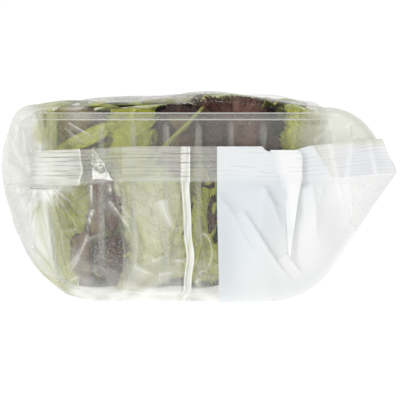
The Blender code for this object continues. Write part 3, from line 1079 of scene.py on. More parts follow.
def sheet(name, across, along, place, look):
    """A folded layer of film; place turns s, t from 0 to 1 into points and their haze, which may hold
    painted highlights.
    """
    mesh, s, t = grid(name, across, along)
    points, haze = place(s, t)
    set_points(mesh, points)
    set_uv(mesh, points[:, 0] + FOLDED_LAYERS, SEAL_HEIGHT - SEAL_START - points[:, 2])
    set_value(mesh, "haze", np.clip(haze, 0, 0.95))
    piece(mesh, look)


def make_ear(look):
    """The seal's left ear, folded back over the band: four layers, so the whitest part."""
    def place(s, t):
        bulge = 1.4 * MM * (2 * t - 1) ** 2 + 0.3 * MM * np.sin(t * 11)
        x = mix(-75 * MM + 3 * MM * t, -45.7 * MM - bulge, s)
        z = mix(53 * MM + 2.4 * MM * s, 71.2 * MM + 1.3 * MM * s, t)
        out = face_reach(SEAL_HEIGHT) + 1.0 * MM * t + 1.0 * MM + 0.5 * ripple(x, up_band(z))
        rough = facets(x, z, (-76 * MM, 52 * MM, -44 * MM, 75 * MM), 30, 9)
        out = out + 0.7 * MM * rough
        glow = bell((s - 0.25) / 0.4) * bell((t - 0.4) / 0.55)
        spread = flat_waves(x * 0.35, z, 5 * MM, 4)
        lines = bell((np.sin(t * 54 + 2.5 * s + 0.8 * spread) - 1) / 0.25) * ease(s * 4)
        # Painted light: the glow and the bright right edge are painted highlights, and the thin lines are
        # painted crimp shade.
        haze = 0.55 + 0.35 * glow + 0.12 * spread * s + 0.3 * bell((s - 1) / 0.03) - 0.35 * lines * rough
        return np.stack((x, -out, z), axis=1), haze * ease(t / 0.2 + s * 0.4) * ease(s / 0.3)

    sheet("seal_ear", 90, 90, place, look)


def make_crumple(look):
    """The creased corner of film that the ear pulls down beside its fold."""
    def place(s, t):
        wobble = 0.4 * np.sin(t * 9) + 0.25 * np.sin(t * 21)
        x = mix(-41.4 + 0.5 * wobble, mix(-31.2, -40.3, t ** 0.9) - wobble, s) * MM
        z = mix(58.2 + 0.3 * np.sin(s * 5), 73.2, t) * MM
        rough = facets(x, z, (-46 * MM, 56 * MM, -30 * MM, 75 * MM), 120, 15)
        out = face_reach(SEAL_HEIGHT) + 1.0 * MM * t + 0.5 * MM + 0.7 * MM * rough
        lines = [bell(flat_waves(x + z * 0.5, z, 7 * MM, seed) / 0.15) for seed in (51, 52)]
        glints = np.maximum(*lines)
        foot = ease((0.26 - t + 0.16 * (rough - 0.5)) / 0.08)
        # Painted light: haze that changes facet by facet and painted glints along crinkle lines; the foot
        # band and right edge are whiter.
        haze = 0.1 + 0.3 * rough + 0.7 * glints * (0.3 + 0.7 * rough)
        haze = haze + 0.6 * foot + 0.4 * bell((s - 1) / 0.05)
        return np.stack((x, -out, z), axis=1), haze

    sheet("film_crumple", 80, 110, place, look)


# The pleat's two edges in millimetres: heights, then the place across at each.
TAB_LEFT = ((22, 30, 42, 53, 65, 72), (49.5, 48.8, 47.9, 46.4, 43, 40.5))
TAB_RIGHT = ((22, 28, 37, 49, 59, 68.5, 70.8, 72), (49.9, 50.8, 52.1, 53.4, 55.2, 55.2, 54.6, 52.9))


def make_tab(look):
    """The printed pleat that stands proud of the front, widest at the seal."""
    def place(s, t):
        z = mix(22.2, 71.9, t) * MM
        left = np.interp(z / MM, *TAB_LEFT) * MM
        right = np.interp(z / MM, *TAB_RIGHT) * MM
        x = mix(left, right, s)
        proud = mix(0.2, 1.3, ease(t * 1.6)) * MM
        tucked = mix(-0.15, 0.25, ease((z - 53 * MM) / (4 * MM))) * MM
        out = face_reach(z) + proud * s + tucked * (1 - s)
        out = out + ripple(x, up_band(z)) * (z > SEAL_HEIGHT)
        out = out + 0.25 * MM * flat_waves(x, z, 14 * MM, 8)
        # Painted highlight on the pleat, strongest at its proud side and towards the seal.
        lit = ease(s * 1.4) * ease(t * 1.5 - 0.2)
        return np.stack((x, -out, z), axis=1), lit

    sheet("seal_tab", 40, 120, place, look)


def make_fin(end, name, look):
    """The tube's lengthwise seal, lying up the middle of an end to the cut edge."""
    way = end["way"]

    def place(s, t):
        z = mix(0.6 * MM, SEAL_HEIGHT + SEAL_BAND, t)
        below = ease((SEAL_HEIGHT + 1 * MM - z) / (2 * MM))
        lean = 0.9 * MM * ease((SEAL_HEIGHT - z) / (18 * MM)) + 1.4 * MM * bell((z - 22 * MM) / (7 * MM))
        lean = lean - 3.4 * MM * ease((7 * MM - z) / (7 * MM))
        wide = mix(4.4, 3.6, below) * MM
        x = -way * (1.6 * MM + lean) + wide * (s - 0.5)
        out = face_reach(z) + 0.5 * MM + 0.15 * MM * s
        # Painted highlights run along both edges of the fin.
        edges = 0.35 * bell((s - 0.93) / 0.07) + mix(0.1, 0.4, below) * bell((s - 0.09) / 0.08)
        edges = edges + below * (0.3 * ease((s - 0.4) / 0.12) - 0.12 * bell((s - 0.62) / 0.05))
        # Painted shade of the crimps: the haze thins in dots up the band.
        beads = 0.25 * bell((np.sin(z / (1.05 * MM) * math.pi) - 1) / 0.5) * (1 - below) * bell(s / 0.3)
        patch = flat_waves(x * 2, z * 0.4, 6 * MM, 31)
        haze = mix(0.74, 0.54, below) + edges - beads + 0.07 * patch
        return np.stack((x, way * out, z), axis=1), haze

    sheet(name, 28, 240, place, look)


# ------------------------------------------------------------------- the tray

def rounded_box(half_x, half_y, radius, ribs):
    """A ring round a box with round corners and ribs pressed in, and each point's share of rib."""
    points, shares = [], []
    angle = np.linspace(0, math.pi / 2, TRAY_CORNER_STEPS, endpoint=False)
    for quarter, (steps, flat_half, out) in enumerate(2 * (
        (TRAY_FRONT_STEPS, half_x - radius, half_y),
        (TRAY_SIDE_STEPS, half_y - radius, half_x),
    )):
        along = np.linspace(-flat_half, flat_half, steps, endpoint=False)
        near = np.abs((along / RIB_PITCH) % 1 - 0.5) * RIB_PITCH
        rib = ease((RIB_WIDTH / 2 + 0.5 * MM - near) / (1.0 * MM)) * ribs
        rib = rib * ease((flat_half - np.abs(along)) / (3 * MM))
        side = np.concatenate((along, flat_half + radius * np.sin(angle)))
        front = np.concatenate((rib * RIB_DEPTH - out, radius - out - radius * np.cos(angle)))
        turn = quarter * math.pi / 2
        c, s = math.cos(turn), math.sin(turn)
        points.append(np.stack((side * c - front * s, side * s + front * c), axis=1))
        shares.append(np.concatenate((rib, np.zeros(TRAY_CORNER_STEPS))))
    return np.concatenate(points), np.concatenate(shares)


def tray_wall(z):
    """Outer half sizes of the tray's wall at a height."""
    t = (z - TRAY_FOOT_HEIGHT) / (TRAY_LEDGE - TRAY_FOOT_HEIGHT)
    return mix(TRAY_FOOT[0], TRAY_TOP[0], t), mix(TRAY_FOOT[1], TRAY_TOP[1], t)


# The tray's ledge and lip in millimetres: inset and height of each ring, and its haze, whose highest values
# paint highlights along the lip's edges.
TRAY_LIP = (
    (0, 84.8, 0.04), (0.1, 85.5, 0.1), (-0.1, 85.65, 0.95), (-0.45, 85.85, 0.95), (-0.5, 85.95, 0.12),
    (-0.6, 86.3, 0.13), (-0.6, 87.4, 0.13), (-0.6, 88.5, 0.13), (-0.65, 88.65, 0.9),
    (-0.85, 88.85, 0.95), (-1.0, 88.85, 0.9), (-1.1, 88.6, 0.1), (-1.1, 88.0, 0.1),
)


def make_tray(look):
    """The whole tray: floor, rounded foot, ribbed wall, ledge and lip."""
    rings, haze = [], []

    def add(shrink, z, ribs, cloud_and_highlight, radius=TRAY_CORNER):
        radius = radius + 20 * MM * ease((24 * MM - z) / (22 * MM))
        half_x, half_y = (half - shrink for half in tray_wall(max(z, TRAY_FOOT_HEIGHT)))
        flat, rib = rounded_box(half_x, half_y, max(min(radius, half_x * 0.98), 0.1 * MM), ribs)
        rings.append(np.concatenate((flat, np.full((len(flat), 1), z)), axis=1))
        outer_x, outer_y = np.abs(flat[:, 0]) / half_x, np.abs(flat[:, 1]) / half_y
        bend = ease((outer_x + outer_y - 1.78) / 0.08) * (z > TRAY_FOOT_HEIGHT)
        aside = ease((outer_x - 0.96) / 0.03)
        plain = np.maximum(cloud_and_highlight * (1 - 0.55 * aside), 0.12 * bend)
        # The rib's edges get a painted highlight.
        haze.append(plain + 0.2 * rib + 0.6 * rib * (1 - rib))

    for inset in (59.5 * MM, 40 * MM, 22 * MM, 14 * MM):
        add(inset, 2.4 * MM, 0, 0.05, max(TRAY_CORNER - inset, 2 * MM))
    add(12 * MM, 2.2 * MM, 0, 0.06, 4 * MM)
    add(10.5 * MM, 0.9 * MM, 0, 0.08, 5 * MM)
    foot = 5.4 * MM
    for k in range(9):
        angle = k / 8 * math.pi / 2
        inset = foot * (1 - math.sin(angle))
        add(inset, 0.6 * MM + foot * (1 - math.cos(angle)), 0, 0.12, TRAY_CORNER - inset)
    wall_low, wall_high, wall_rings = 7 * MM, 84 * MM, 30
    for k in range(wall_rings):
        z = mix(wall_low, wall_high, (k + 0.5) / wall_rings)
        add(0, z, ease((z - wall_low) / (5 * MM)) * ease((wall_high - z) / (4 * MM)), 0.03)
    for inset, z, cloud_and_highlight in TRAY_LIP:
        add(inset * MM, z * MM, 0, cloud_and_highlight, TRAY_CORNER - inset * MM)
    rings = np.array(rings)
    mesh, _, haze, _ = rolled("tray", rings, np.array(haze), rings.shape[1])
    set_value(mesh, "haze", haze)
    made = piece(mesh, look)
    solid = made.modifiers.new("wall", "SOLIDIFY")
    solid.thickness = 0.35 * MM
    solid.offset = -1


# ------------------------------------------------------------------ the leaves

def film_roof(x, y, z):
    """Height of the film over the heap, also where it turns down at both ends."""
    flare = flare_at(y)
    shoulder = mix(RIM_HEIGHT, 91.7 * MM, flare)
    half = mix(RIM_HALF_WIDTH, 76 * MM, flare)
    rise = mix(HEAP_RISE, END_RISE, flare)
    roof = shoulder + rise * (1 - (x / half) ** 2) + lump(x, y, z)
    past = np.clip((np.abs(y) - TUBE_HALF_LENGTH) / (RIM_REACH - TUBE_HALF_LENGTH), 0, 0.97)
    return roof + TURN * np.log(1 - past) * (roof - SEAL_HEIGHT)


def heap_slack(x, y):
    """How far the heap stays under the film: close only at its mound and towards the back."""
    mound = ease((x - 1 * MM) / (8 * MM)) * ease((64 * MM - x) / (10 * MM))
    return mix(mix(4.2, 1.4, ease((y + 10 * MM) / (50 * MM))), 0.7, mound) * MM


def keep_in_tray(points, margin):
    """Presses points that would pass the tray's wall, floor or the film above back inside."""
    x, y, z = points.T
    soft = 2 * MM
    y = np.clip(y, -TRAY_TOP[1] + margin, TRAY_TOP[1] - margin)
    behind = ease((y + 82 * MM) / (6 * MM))
    roof = film_roof(x, y, np.full(z.shape, 94 * MM)) - mix(0.9 * MM, heap_slack(x, y), behind)
    snug = 1.2 * MM
    over = z - (roof - snug)
    z = np.where(over > 0, roof - snug * np.exp(-np.maximum(over, 0) / snug), z)
    floor = 3.4 * MM
    under = (floor + soft) - z
    z = np.where(under > 0, floor + soft * np.exp(-np.maximum(under, 0) / soft), z)
    half_x, half_y = tray_wall(np.clip(z, TRAY_FOOT_HEIGHT, TRAY_LEDGE))
    foot = 3.5 * MM * ease((10 * MM - z) / (8 * MM))
    half_x, half_y = half_x - 0.7 * MM - 0.5 * margin - foot, half_y - margin - foot
    power = mix(10, 4, ease((24 * MM - z) / (22 * MM)))
    reach = ((np.abs(x) / half_x) ** power + (np.abs(y) / half_y) ** power) ** (1 / power)
    room = soft / half_x
    past = reach - (1 - room)
    held = np.where(past > 0, 1 - room * np.exp(-np.maximum(past, 0) / room), reach)
    scale = held / np.maximum(reach, 1e-9)
    return np.stack((x * scale, y * scale, z), axis=1)


def leaf_shape(theta, r, leaf, rng):
    """A blade on its own flat plane: places across and along it, and its height off the plane."""
    length, width = leaf["length"], leaf["width"]
    tipward = (1 - np.cos(theta)) / 2
    lobes = 1 + 0.06 * np.sin(3 * theta + rng.uniform(0, 6)) + 0.05 * np.sin(5 * theta + rng.uniform(0, 6))
    count = rng.integers(22, 32) * leaf["fine"]
    phase = theta / (2 * math.pi) * count + 0.35 * np.sin(5 * theta + rng.uniform(0, 6))
    saw = (phase % 1) ** 0.8
    spike = 1 + 0.8 * np.sin(11 * theta + rng.uniform(0, 6))
    out = lobes + leaf["teeth"] * (saw - 0.5) * spike * ease(tipward * 1.6) * r ** 6
    cosine = np.sign(np.cos(theta)) * np.abs(np.cos(theta)) ** leaf["blunt"]
    x = width / 2 * np.sin(theta) * (0.6 + 0.4 * tipward) * r * out
    y = -length / 2 * cosine * r * out
    k1, k2 = rng.integers(7, 11), rng.integers(12, 17)
    ruffle = np.sin(k1 * theta + rng.uniform(0, 6)) + 0.6 * np.sin(k2 * theta + rng.uniform(0, 6))
    height = leaf["frill"] * r ** 3 * ruffle * ease(tipward * 2.5)
    height = height + 0.7 * MM * flat_waves(x, y, 14 * MM, rng.integers(1 << 30)) * (1 - 0.4 * r)
    height = height + rng.uniform(-0.004, 0.010) * (x / (width / 2)) ** 2
    height = height + rng.uniform(-0.006, 0.006) * (y / (length / 2)) ** 2
    height = height - 0.7 * MM * bell(x / (1.6 * MM)) * (1 - r * 0.7)
    return x, y, height


def unit(vector):
    return vector / np.linalg.norm(vector)


def make_leaves(name, leaves, look):
    """A heap of blades as one piece; each leaf gives its place, facing, size and tone."""
    mesh, places = grids(name, [leaf["steps"] for leaf in leaves])
    points, flat = [], []
    values = {"shade": [], "pale": [], "rim": []}
    for leaf, (u, v) in zip(leaves, places):
        r = v ** 0.75
        x, y, h = leaf_shape(u * 2 * math.pi, r, leaf, np.random.default_rng(leaf["seed"]))
        facing = unit(np.array(leaf["facing"], float))
        up = np.array(leaf["up"], float)
        up = unit(up - facing * (up @ facing))
        side = np.cross(up, facing)
        spread = x[:, None] * side + y[:, None] * up + h[:, None] * facing
        points.append(keep_in_tray(np.array(leaf["at"], float) * MM + spread, leaf["depth"] * MM))
        flat.append(np.stack((x, y), axis=1))
        values["shade"].append(leaf["shade"] + leaf["fall"] * ease(0.5 - y / leaf["length"]))
        values["pale"].append(leaf["pale"] * (1.15 - ease(r * 1.1)))
        values["rim"].append(r ** 2)
    set_points(mesh, np.concatenate(points))
    set_uv(mesh, *np.concatenate(flat).T)
    for value, parts in values.items():
        set_value(mesh, value, np.concatenate(parts))
    made = piece(mesh, look, outward=False)
    blade = made.modifiers.new("blade", "SOLIDIFY")
    blade.thickness = 0.3 * MM
    blade.offset = 0


def wall_leaves(count, seed, tones):
    """Leaves that lie against the walls and on top of the heap, all the way round."""
    rng = np.random.default_rng(seed)
    leaves = []
    for _ in range(count):
        where = rng.choice(("left", "right", "left", "right", "back", "top", "top", "front"))
        tilt = rng.normal(0, 0.28, 3)
        if where == "top":
            at = (rng.uniform(-52, 52), rng.uniform(-60, 78), rng.uniform(84, 91))
            facing = np.array((0, 0, 1)) + tilt
            up = (*rng.normal(size=2), 0)
        elif where in ("left", "right"):
            way = -1 if where == "left" else 1
            at = (way * rng.uniform(56, 62), rng.uniform(-76, 76), rng.uniform(16, 78))
            facing = np.array((way, 0, 0)) + tilt
            up = (0, *rng.normal(size=2))
        else:
            way = -1 if where == "front" else 1
            at = (rng.uniform(-50, 50), way * rng.uniform(78, 84), rng.uniform(16, 78))
            facing = np.array((0, way, 0)) + tilt
            up = (rng.normal(), 0, rng.normal())
        size = rng.uniform(34, 56) * MM
        leaves.append({
            "at": at,
            "facing": facing,
            "up": up,
            "length": size,
            "width": size * rng.uniform(0.65, 0.95),
            "teeth": rng.uniform(0.06, 0.16),
            "fine": 0.5,
            "blunt": 0.9,
            "frill": rng.uniform(1.2, 3.0) * MM,
            "shade": rng.uniform(*tones),
            "fall": 0,
            "pale": rng.uniform(0.1, 0.7),
            "depth": rng.uniform(1.0, 4.5) + (2.5 if where == "front" else 0),
            "steps": WALL_STEPS,
            "seed": int(rng.integers(1 << 30)),
        })
    return leaves


def front_leaf(x, z, length, width, turn, shade, seed, **more):
    """A leaf that shows at the front wall: its middle, size, and how far its tip is turned."""
    leaf = {
        "length": length * MM, "width": width * MM, "shade": shade, "seed": seed, "fall": 0, "pale": 0.1,
        "depth": 1.0, "back": 0, "teeth": 0.12, "fine": 1, "blunt": 0.8, "frill": 1.6, "steps": FRONT_STEPS,
    }
    leaf.update(more)
    angle = math.radians(turn)
    leaf["frill"] *= MM
    _, wall = tray_wall(min(z * MM, TRAY_LEDGE))
    leaf["at"] = (x, min(-88, 1.2 - wall / MM) + leaf["depth"] + leaf["back"], z)
    leaf.setdefault("facing", (0, -1, 0.2 if leaf["back"] > 5 else 0))
    leaf["up"] = (math.sin(angle), 0, math.cos(angle))
    return leaf


# Steps round and along a leaf: at the front, with fine teeth there, and elsewhere.
FRONT_STEPS = (112, 10)
FINE_STEPS = (224, 14)
WALL_STEPS = (48, 6)

# A smoother, paler leaf from the middle of a head.
heart_leaf = functools.partial(front_leaf, frill=0.8)

FRONT_GREEN = [
    front_leaf(-23.8, 76, 38, 24.5, 4, 0.5, 11, fall=0.5, depth=0.6, blunt=0.5, teeth=0.4, fine=1.5,
               frill=0.6, steps=FINE_STEPS),
    front_leaf(-48.5, 75.5, 42, 9, 66, 0.95, 15, depth=0.6, pale=0.4, frill=0.3, teeth=0.04),
    front_leaf(-51.5, 46, 28, 16, 5, 0.5, 13, frill=3.4, teeth=0.3, fine=1.1, pale=0, steps=FINE_STEPS),
    front_leaf(-55, 36, 19, 14, -40, 0.6, 23, depth=1.0, frill=2.8, teeth=0.3, pale=0),
    front_leaf(-56, 50, 17, 15, 30, 0.8, 85, depth=1.8, frill=2.4, teeth=0.3, pale=0),
    front_leaf(-48, 33, 16, 12, 50, 0.35, 71, depth=1.6, frill=2.8, teeth=0.3, pale=0),
    front_leaf(11, 42, 36, 15, 4, 1.25, 14, frill=2.4, teeth=0.24, steps=FINE_STEPS, pale=0),
    front_leaf(10, 22, 28, 20, 170, 1.2, 24, depth=1.6, frill=2.4, teeth=0.24),
    front_leaf(11, 61, 22, 18, 20, 0.55, 25, depth=2.2, frill=1.4),
    front_leaf(54, 78, 25, 15, 4, 0.95, 16, frill=2.6, teeth=0.45, fine=1.0, blunt=0.8, steps=FINE_STEPS),
    front_leaf(51, 72, 18, 14, 10, 0.8, 26, depth=1.8, frill=2.4, teeth=0.4),
    front_leaf(-28.5, 24.5, 9, 8, 60, 0.85, 18, depth=0.8, teeth=0.5, fine=0.5, frill=0.5),
    front_leaf(38, 30, 60, 44, 30, 0.6, 19, depth=3.0, pale=0.3),
    front_leaf(-23, 81, 18, 24, 5, 0.5, 51, back=12, teeth=0.2, blunt=0.5),
    front_leaf(-28, 81, 18, 22, 30, 0.6, 53, back=28, teeth=0.2, blunt=0.5),
    front_leaf(57, 80, 18, 14, 0, 0.8, 54, back=12, teeth=0.2, frill=2.2),
    front_leaf(52, 80, 20, 20, 10, 0.7, 55, back=28, teeth=0.2, frill=2.2),
    front_leaf(-57, 82, 14, 14, 10, 0.4, 57, back=8, teeth=0.2),
]
FRONT_PALE = [
    heart_leaf(62, 73, 36, 15, -4, 0.15, 74, depth=1.1, pale=0.2),
    heart_leaf(-66, 74, 34, 10, 2, 0.05, 77, depth=1.2, pale=0.2),
    heart_leaf(-3, 43, 34, 13, 0, 0.5, 78, depth=1.5, frill=0.6, pale=0.4),
    heart_leaf(-21, 31, 30, 15, 8, 0.25, 79, depth=1.7, pale=0.3),
    heart_leaf(-59, 22, 36, 17, 4, 0.1, 81, back=7, facing=(-1, -1.2, 0), frill=1.0, pale=0.1),
    heart_leaf(-61, 42, 32, 15, -6, 0.15, 82, back=8, facing=(-1, -1.2, 0), frill=1.0, pale=0.1),
    heart_leaf(-62, 66, 34, 15, 5, 0.1, 83, back=7, facing=(-1, -1.2, 0), frill=1.0, pale=0.1),
    heart_leaf(63, 66, 34, 15, -5, 0.1, 84, back=7, facing=(1, -1.2, 0), frill=1.0, pale=0.1),
    heart_leaf(57, 85, 16, 22, 4, 0.0, 75, back=12, pale=0, blunt=0.5),
    heart_leaf(55, 86, 16, 26, -8, 0.0, 76, back=26, pale=0, blunt=0.5),
    heart_leaf(-13, 43, 44, 29, -6, 0.7, 12, depth=1.3, frill=0.7, pale=0.4, teeth=0.05),
    heart_leaf(-24, 64, 30, 20, 20, 0.35, 17, depth=2.0, pale=0.5),
    heart_leaf(-9, 20, 30, 26, 70, 0.3, 20, depth=1.8, pale=0.4),
    heart_leaf(-28, 48, 28, 8, -8, 0.2, 27, depth=1.4, pale=0.3),
    heart_leaf(-58, 16, 18, 12, 10, 0.1, 31, depth=1.4, pale=0),
    heart_leaf(-60, 26, 26, 11, -8, 0.1, 28, depth=1.2, pale=0),
    heart_leaf(-63, 44, 26, 12, 0, 0.1, 29, depth=2.0, pale=0),
    heart_leaf(-64, 74, 34, 9, 3, 0.15, 30, depth=0.8, pale=0.2),
    heart_leaf(-64, 56, 30, 9, 0, 0.2, 22, depth=2.6, frill=0.5),
]
FRONT_RED = [
    front_leaf(25.5, 75.6, 40, 35, -2, 0.3, 31, back=3, blunt=0.4, teeth=0.34, fine=1.5, frill=1.2,
               steps=FINE_STEPS),
    front_leaf(12, 82, 24, 18, -6, 0.35, 72, back=5, blunt=0.5, teeth=0.3, fine=1.3, frill=1.2),
    front_leaf(31, 70, 34, 32, 8, 0.6, 43, depth=1.2, frill=1.0, blunt=0.6),
    front_leaf(-2, 76, 34, 22, 4, -0.15, 32, depth=1.4, blunt=0.5, frill=1.0, fall=0.8, steps=FINE_STEPS),
    front_leaf(-1, 76, 26, 23, 178, 0.98, 40, depth=1.6, frill=0.8, pale=0.4, blunt=0.7, teeth=0.3, fine=1.6,
               steps=FINE_STEPS),
    front_leaf(-39.5, 46, 30, 18, 3, 0.9, 33, depth=0.8, frill=1.0, pale=0.3, blunt=0.6),
    front_leaf(-34, 42, 17, 11, 0, 0.5, 44, depth=0.75, frill=1.0, teeth=0.3),
    front_leaf(-50, 20, 26, 14, 4, 0.85, 46, depth=0.95, frill=1.0, pale=0.4, blunt=0.6),
    front_leaf(-35, 20, 24, 19, 8, 0.2, 34, depth=0.9, teeth=0.2, fine=1.3, frill=1.2, steps=FINE_STEPS),
    front_leaf(-47, 17, 18, 12, 0, 0.45, 36, depth=1.8, frill=1.0),
    front_leaf(-50, 78, 26, 24, 20, 0.85, 35, depth=2.6, pale=0.3, blunt=0.6, frill=0.6),
    front_leaf(-43, 80, 15, 18, 60, 0.5, 45, depth=2.2, frill=0.6),
    front_leaf(-57, 62, 26, 16, 20, 0.85, 42, depth=2.2, pale=0.4, frill=0.6),
    front_leaf(-5, 65, 32, 16, 85, 0.6, 37, depth=2.6, pale=0.2, frill=0.6),
    front_leaf(13.5, 57, 10, 8, 60, 0.1, 38, depth=0.9),
    front_leaf(14.5, 41, 17, 6, 5, 0.15, 39, depth=0.9, teeth=0.2),
    front_leaf(-52, 85.5, 13, 28, -3, 0.95, 41, depth=1.8, pale=0.4, blunt=0.5),
    front_leaf(-44, 81, 14, 22, -3, 0.5, 68, back=14, blunt=0.5),
    front_leaf(-48, 81, 16, 22, 10, 0.5, 69, back=28, blunt=0.5),
    front_leaf(22, 84.5, 20, 36, 8, 0.35, 62, back=12, teeth=0.3, fine=1.5, blunt=0.5),
    front_leaf(26, 84.5, 20, 36, -8, 0.3, 63, back=26, teeth=0.3, fine=1.5, blunt=0.5),
    front_leaf(8, 84.5, 20, 24, 4, 0.3, 73, back=18, teeth=0.3, fine=1.5, blunt=0.5),
    front_leaf(-3, 81, 16, 22, 0, 0.1, 65, back=12, blunt=0.5),
    front_leaf(-2, 81, 16, 24, 20, 0.15, 66, back=26, blunt=0.5),
]


def make_core(look):
    """The middle of the heap, coloured as painted shade, which only shows as dark gaps between the leaves.
    """
    bm = bmesh.new()
    bmesh.ops.create_cube(bm, size=1)
    bmesh.ops.subdivide_edges(bm, edges=bm.edges[:], cuts=24, use_grid_fill=True)
    low = Vector((-56 * MM, -80 * MM, 5 * MM))
    high = Vector((56 * MM, 80 * MM, 86 * MM))
    for vert in bm.verts:
        t = vert.co + Vector((0.5, 0.5, 0.5))
        vert.co = Vector([mix(low[k], high[k], t[k]) for k in range(3)])
        vert.co.x *= mix(0.9, 1.0, t.z)
        vert.co.y *= mix(0.93, 1.0, t.z)
    mesh = mesh_from(bm, "shaded_leaf_core")
    points = vertex_vectors(mesh, "co")
    relief = 0.03 * (1 + waves(points, 24 * MM, 5))
    set_points(mesh, points - (points - np.array((0, 0, 45 * MM))) * relief[:, None])
    piece(mesh, look)


# Groups of droplets: how many, their middle and spread across and up, and their radii, in millimetres.
DROPLETS = (
    (420, (-36, 20), (5.0, 7.0), (0.12, 0.32)),
    (160, (-39, 44), (3.4, 8.0), (0.12, 0.3)),
    (80, (-50, 18), (4.0, 6.0), (0.12, 0.3)),
    (60, (26, 82), (12.0, 4.0), (0.12, 0.25)),
    (70, (-14, 30), (14.0, 16.0), (0.12, 0.3)),
    (70, (10, 30), (4.0, 14.0), (0.12, 0.3)),
)


def make_droplets(look):
    """Beads of condensation on the inside of the tray's front wall, most where it is dark."""
    rng = np.random.default_rng(77)
    bm = bmesh.new()
    for count, middle, spread, sizes in DROPLETS:
        for _ in range(count):
            x, z = (np.array(middle) + rng.normal(0, 1, 2) * spread) * MM
            radius = rng.uniform(*sizes) * MM
            z = np.clip(z, 8 * MM, 84 * MM)
            _, half_y = tray_wall(z)
            bead = bmesh.ops.create_icosphere(bm, subdivisions=1, radius=radius)["verts"]
            for vert in bead:
                vert.co.y *= 0.55
                vert.co += Vector((x, 0.6 * MM - half_y, z))
    piece(mesh_from(bm, "droplets"), look, merge=False)


STALK_AROUND = 14
STALK_ALONG = 40


def stalk(path, radii):
    """Rings of a tapered stalk through the path's points, in millimetres."""
    path = np.array(path, float) * MM
    t = np.linspace(0, len(path) - 1, STALK_ALONG + 1)
    middle = np.stack([np.interp(t, np.arange(len(path)), path[:, k]) for k in range(3)], axis=1)
    kernel = np.array((1, 2, 3, 2, 1)) / 9
    padded = np.concatenate((middle[:1].repeat(2, 0), middle, middle[-1:].repeat(2, 0)))
    middle = np.stack([np.convolve(padded[:, k], kernel, "valid") for k in range(3)], axis=1)
    radius = np.interp(t, np.linspace(0, len(path) - 1, len(radii)), radii) * MM
    run = np.gradient(middle, axis=0)
    run /= np.linalg.norm(run, axis=1)[:, None]
    side = np.cross(run, (0, 1, 0))
    side /= np.linalg.norm(side, axis=1)[:, None]
    lift = np.cross(side, run)
    turn = np.arange(STALK_AROUND) / STALK_AROUND * 2 * math.pi
    ridge = 1 + 0.08 * np.cos(turn * 4)
    wide = (radius[:, None] * np.cos(turn) * ridge)[:, :, None]
    deep = (radius[:, None] * np.sin(turn) * ridge * 0.7)[:, :, None]
    return middle[:, None] + wide * side[:, None] + deep * lift[:, None]


# Each stalk's path and its radii along it, in millimetres.
STALKS = (
    (
        ((10.5, -89, 92), (3, -90.3, 84), (-7, -90, 74.5), (-12, -89.4, 68), (-18, -88.6, 60)),
        (0.7, 0.9, 1.1, 1.5),
    ),
    (((-44, -87.6, 71), (-30, -88.4, 66), (-20, -88, 60)), (0.8, 1.2, 1.4)),
    (((5, -86.5, 14), (9, -86.8, 28), (8, -87, 40)), (0.9, 1.1, 0.8)),
    (((-61, -30, 50), (-60.5, -14, 62), (-62, 4, 70)), (1.6, 1.3, 0.8)),
    (((62, -20, 66), (60.5, -4, 54), (59.5, 16, 42)), (0.8, 1.3, 1.8)),
    (((-20, 86.5, 60), (-8, 86, 50), (6, 85, 34)), (0.9, 1.4, 1.9)),
    (((-20, -40, 92.3), (-4, -22, 92.8), (8, 2, 92.4)), (0.9, 1.3, 1.6)),
    (((24, 20, 92), (14, 36, 92.4), (-2, 44, 92)), (0.8, 1.2, 1.5)),
)


def make_stalks(look):
    """Thin stalks of leaves that lie across the heap's outside."""
    mesh, places = grids("stalks", [(STALK_AROUND, STALK_ALONG)] * len(STALKS))
    points = []
    for (u, v), (path, radii) in zip(places, STALKS):
        i = whole_steps(u, STALK_AROUND) % STALK_AROUND
        points.append(stalk(path, radii)[whole_steps(v, STALK_ALONG), i])
    set_points(mesh, np.concatenate(points))
    piece(mesh, look)


# --------------------------------------------------------- floor, light, camera

def place_in_scene(name, data):
    made = bpy.data.objects.new(name, data)
    bpy.context.scene.collection.objects.link(made)
    return made


def make_floor():
    """A pale floor, which glows a little so that its edge is lost."""
    bm = bmesh.new()
    bmesh.ops.create_grid(bm, x_segments=1, y_segments=1, size=6)
    mesh = mesh_from(bm, "floor")
    look = Look("pale_floor")
    mesh.materials.append(look.done(look.node("BsdfPrincipled", values={
        "Base Color": (0.3, 0.3, 0.3, 1),
        "Roughness": 0.9,
        "Emission Color": (1, 1, 1, 1),
        "Emission Strength": 0.86,
    })))
    place_in_scene("floor", mesh)


def make_sky():
    """Even white light, less from before the pack and from straight above."""
    world = bpy.data.worlds.new("studio")
    world.use_nodes = True
    sky = Nodes(world.node_tree)
    _, behind, up = sky.split(sky.node("TexCoord", out="Generated"))
    strength = sky.run(behind, -0.3, 0.5, 0.3, 1.03) * sky.run(up, 0.25, 0.8, 1.0, 0.45)
    background = sky.tree.nodes["Background"]
    background.inputs["Color"].default_value = (1, 1, 1, 1)
    sky.tree.links.new(strength.socket, background.inputs["Strength"])
    bpy.context.scene.world = world


def make_lamps():
    """Three soft boxes: at the left, at the right and above."""
    for name, at, wide, tall, power in (
        ("key", (-0.85, -0.6, 0.7), 0.14, 0.9, 7.2),
        ("fill", (0.7, -1.0, 0.5), 0.1, 0.9, 2.1),
        ("top", (0.05, -0.2, 1.1), 0.9, 0.18, 4.0),
    ):
        light = bpy.data.lights.new(name, "AREA")
        light.shape = "RECTANGLE"
        light.size = wide
        light.size_y = tall
        light.energy = power
        lamp = place_in_scene(name, light)
        lamp.location = at
        aim = Vector((0, 0, 0.05)) - Vector(at)
        lamp.rotation_euler = aim.to_track_quat("-Z", "Y").to_euler()


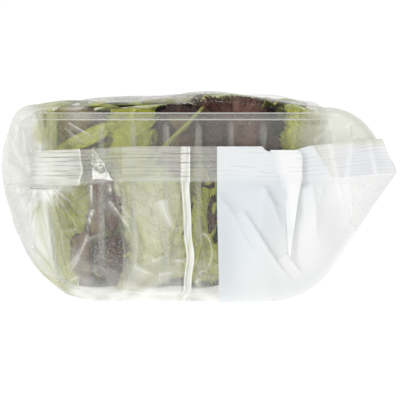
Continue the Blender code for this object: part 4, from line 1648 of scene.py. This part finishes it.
def make_camera():
    """A long lens, a little above the middle of the pack's front."""
    camera_data = bpy.data.cameras.new("camera")
    camera = place_in_scene("camera", camera_data)
    aim = Vector((8.3 * MM, -SEAL_REACH, 48.8 * MM))
    distance = 0.9
    elevation = math.radians(4)
    width_seen = 184 * MM
    camera.location = aim + Vector((0, -math.cos(elevation), math.sin(elevation))) * distance
    camera.rotation_euler = (math.pi / 2 - elevation, 0, 0)
    camera_data.sensor_width = 36
    camera_data.lens = 36 * distance / width_seen
    scene = bpy.context.scene
    scene.camera = camera
    scene.view_settings.view_transform = "Standard"
    scene.cycles.use_denoising = True
    scene.cycles.transparent_max_bounces = 40
    scene.cycles.max_bounces = 12


make_floor()
make_sky()
make_lamps()
make_camera()

green = leaf_look(
    "green_leaf",
    [(0.0, "454C0E"), (0.35, "848B1A"), (0.65, "B2B41C"), (1.0, "D2D450")],
    pale="E2E2AE", vein="D2D47A", edge="8E941C", hollow_shade="3C4410",
)
pale = leaf_look(
    "pale_leaf",
    [(0.0, "BCC170"), (0.4, "DADC9C"), (0.7, "ECEDBC"), (1.0, "F6F6DC")],
    pale="F2F2DC", vein="F0F0CC", edge="C4C870", hollow_shade="B0B47C",
)
red = leaf_look(
    "red_leaf",
    [(0.0, "2C0C03"), (0.35, "592C1E"), (0.7, "815A4A"), (1.0, "8E7B48")],
    pale="9C9470", vein="7E5848", edge="3A1A12", hollow_shade="1E0904",
)
make_leaves("green_leaves", FRONT_GREEN + wall_leaves(70, 3, (0.25, 0.9)), green)
make_leaves("pale_leaves", FRONT_PALE + wall_leaves(30, 6, (0.25, 0.9)), pale)
make_leaves("red_leaves", FRONT_RED + wall_leaves(48, 4, (0.1, 0.8)), red)
make_core(shaded_core_look())
make_stalks(stalk_look())
make_droplets(droplet_look())
make_tray(tray_look())
film_clear = film_look("clear_film", printed=False)
film_printed = film_look("printed_film", printed=True)
for lower, half in ((False, "over"), (True, "under")):
    make_film(FRONT, "film_front_" + half, 96, 40, film_printed, lower)
    make_film(BACK, "film_back_" + half, 60, 32, film_clear, lower)
make_tube(film_printed)
make_ear(film_clear)
make_crumple(film_clear)
make_tab(ink_look())
make_fin(FRONT, "fin_front", film_clear)
make_fin(BACK, "fin_back", film_clear)
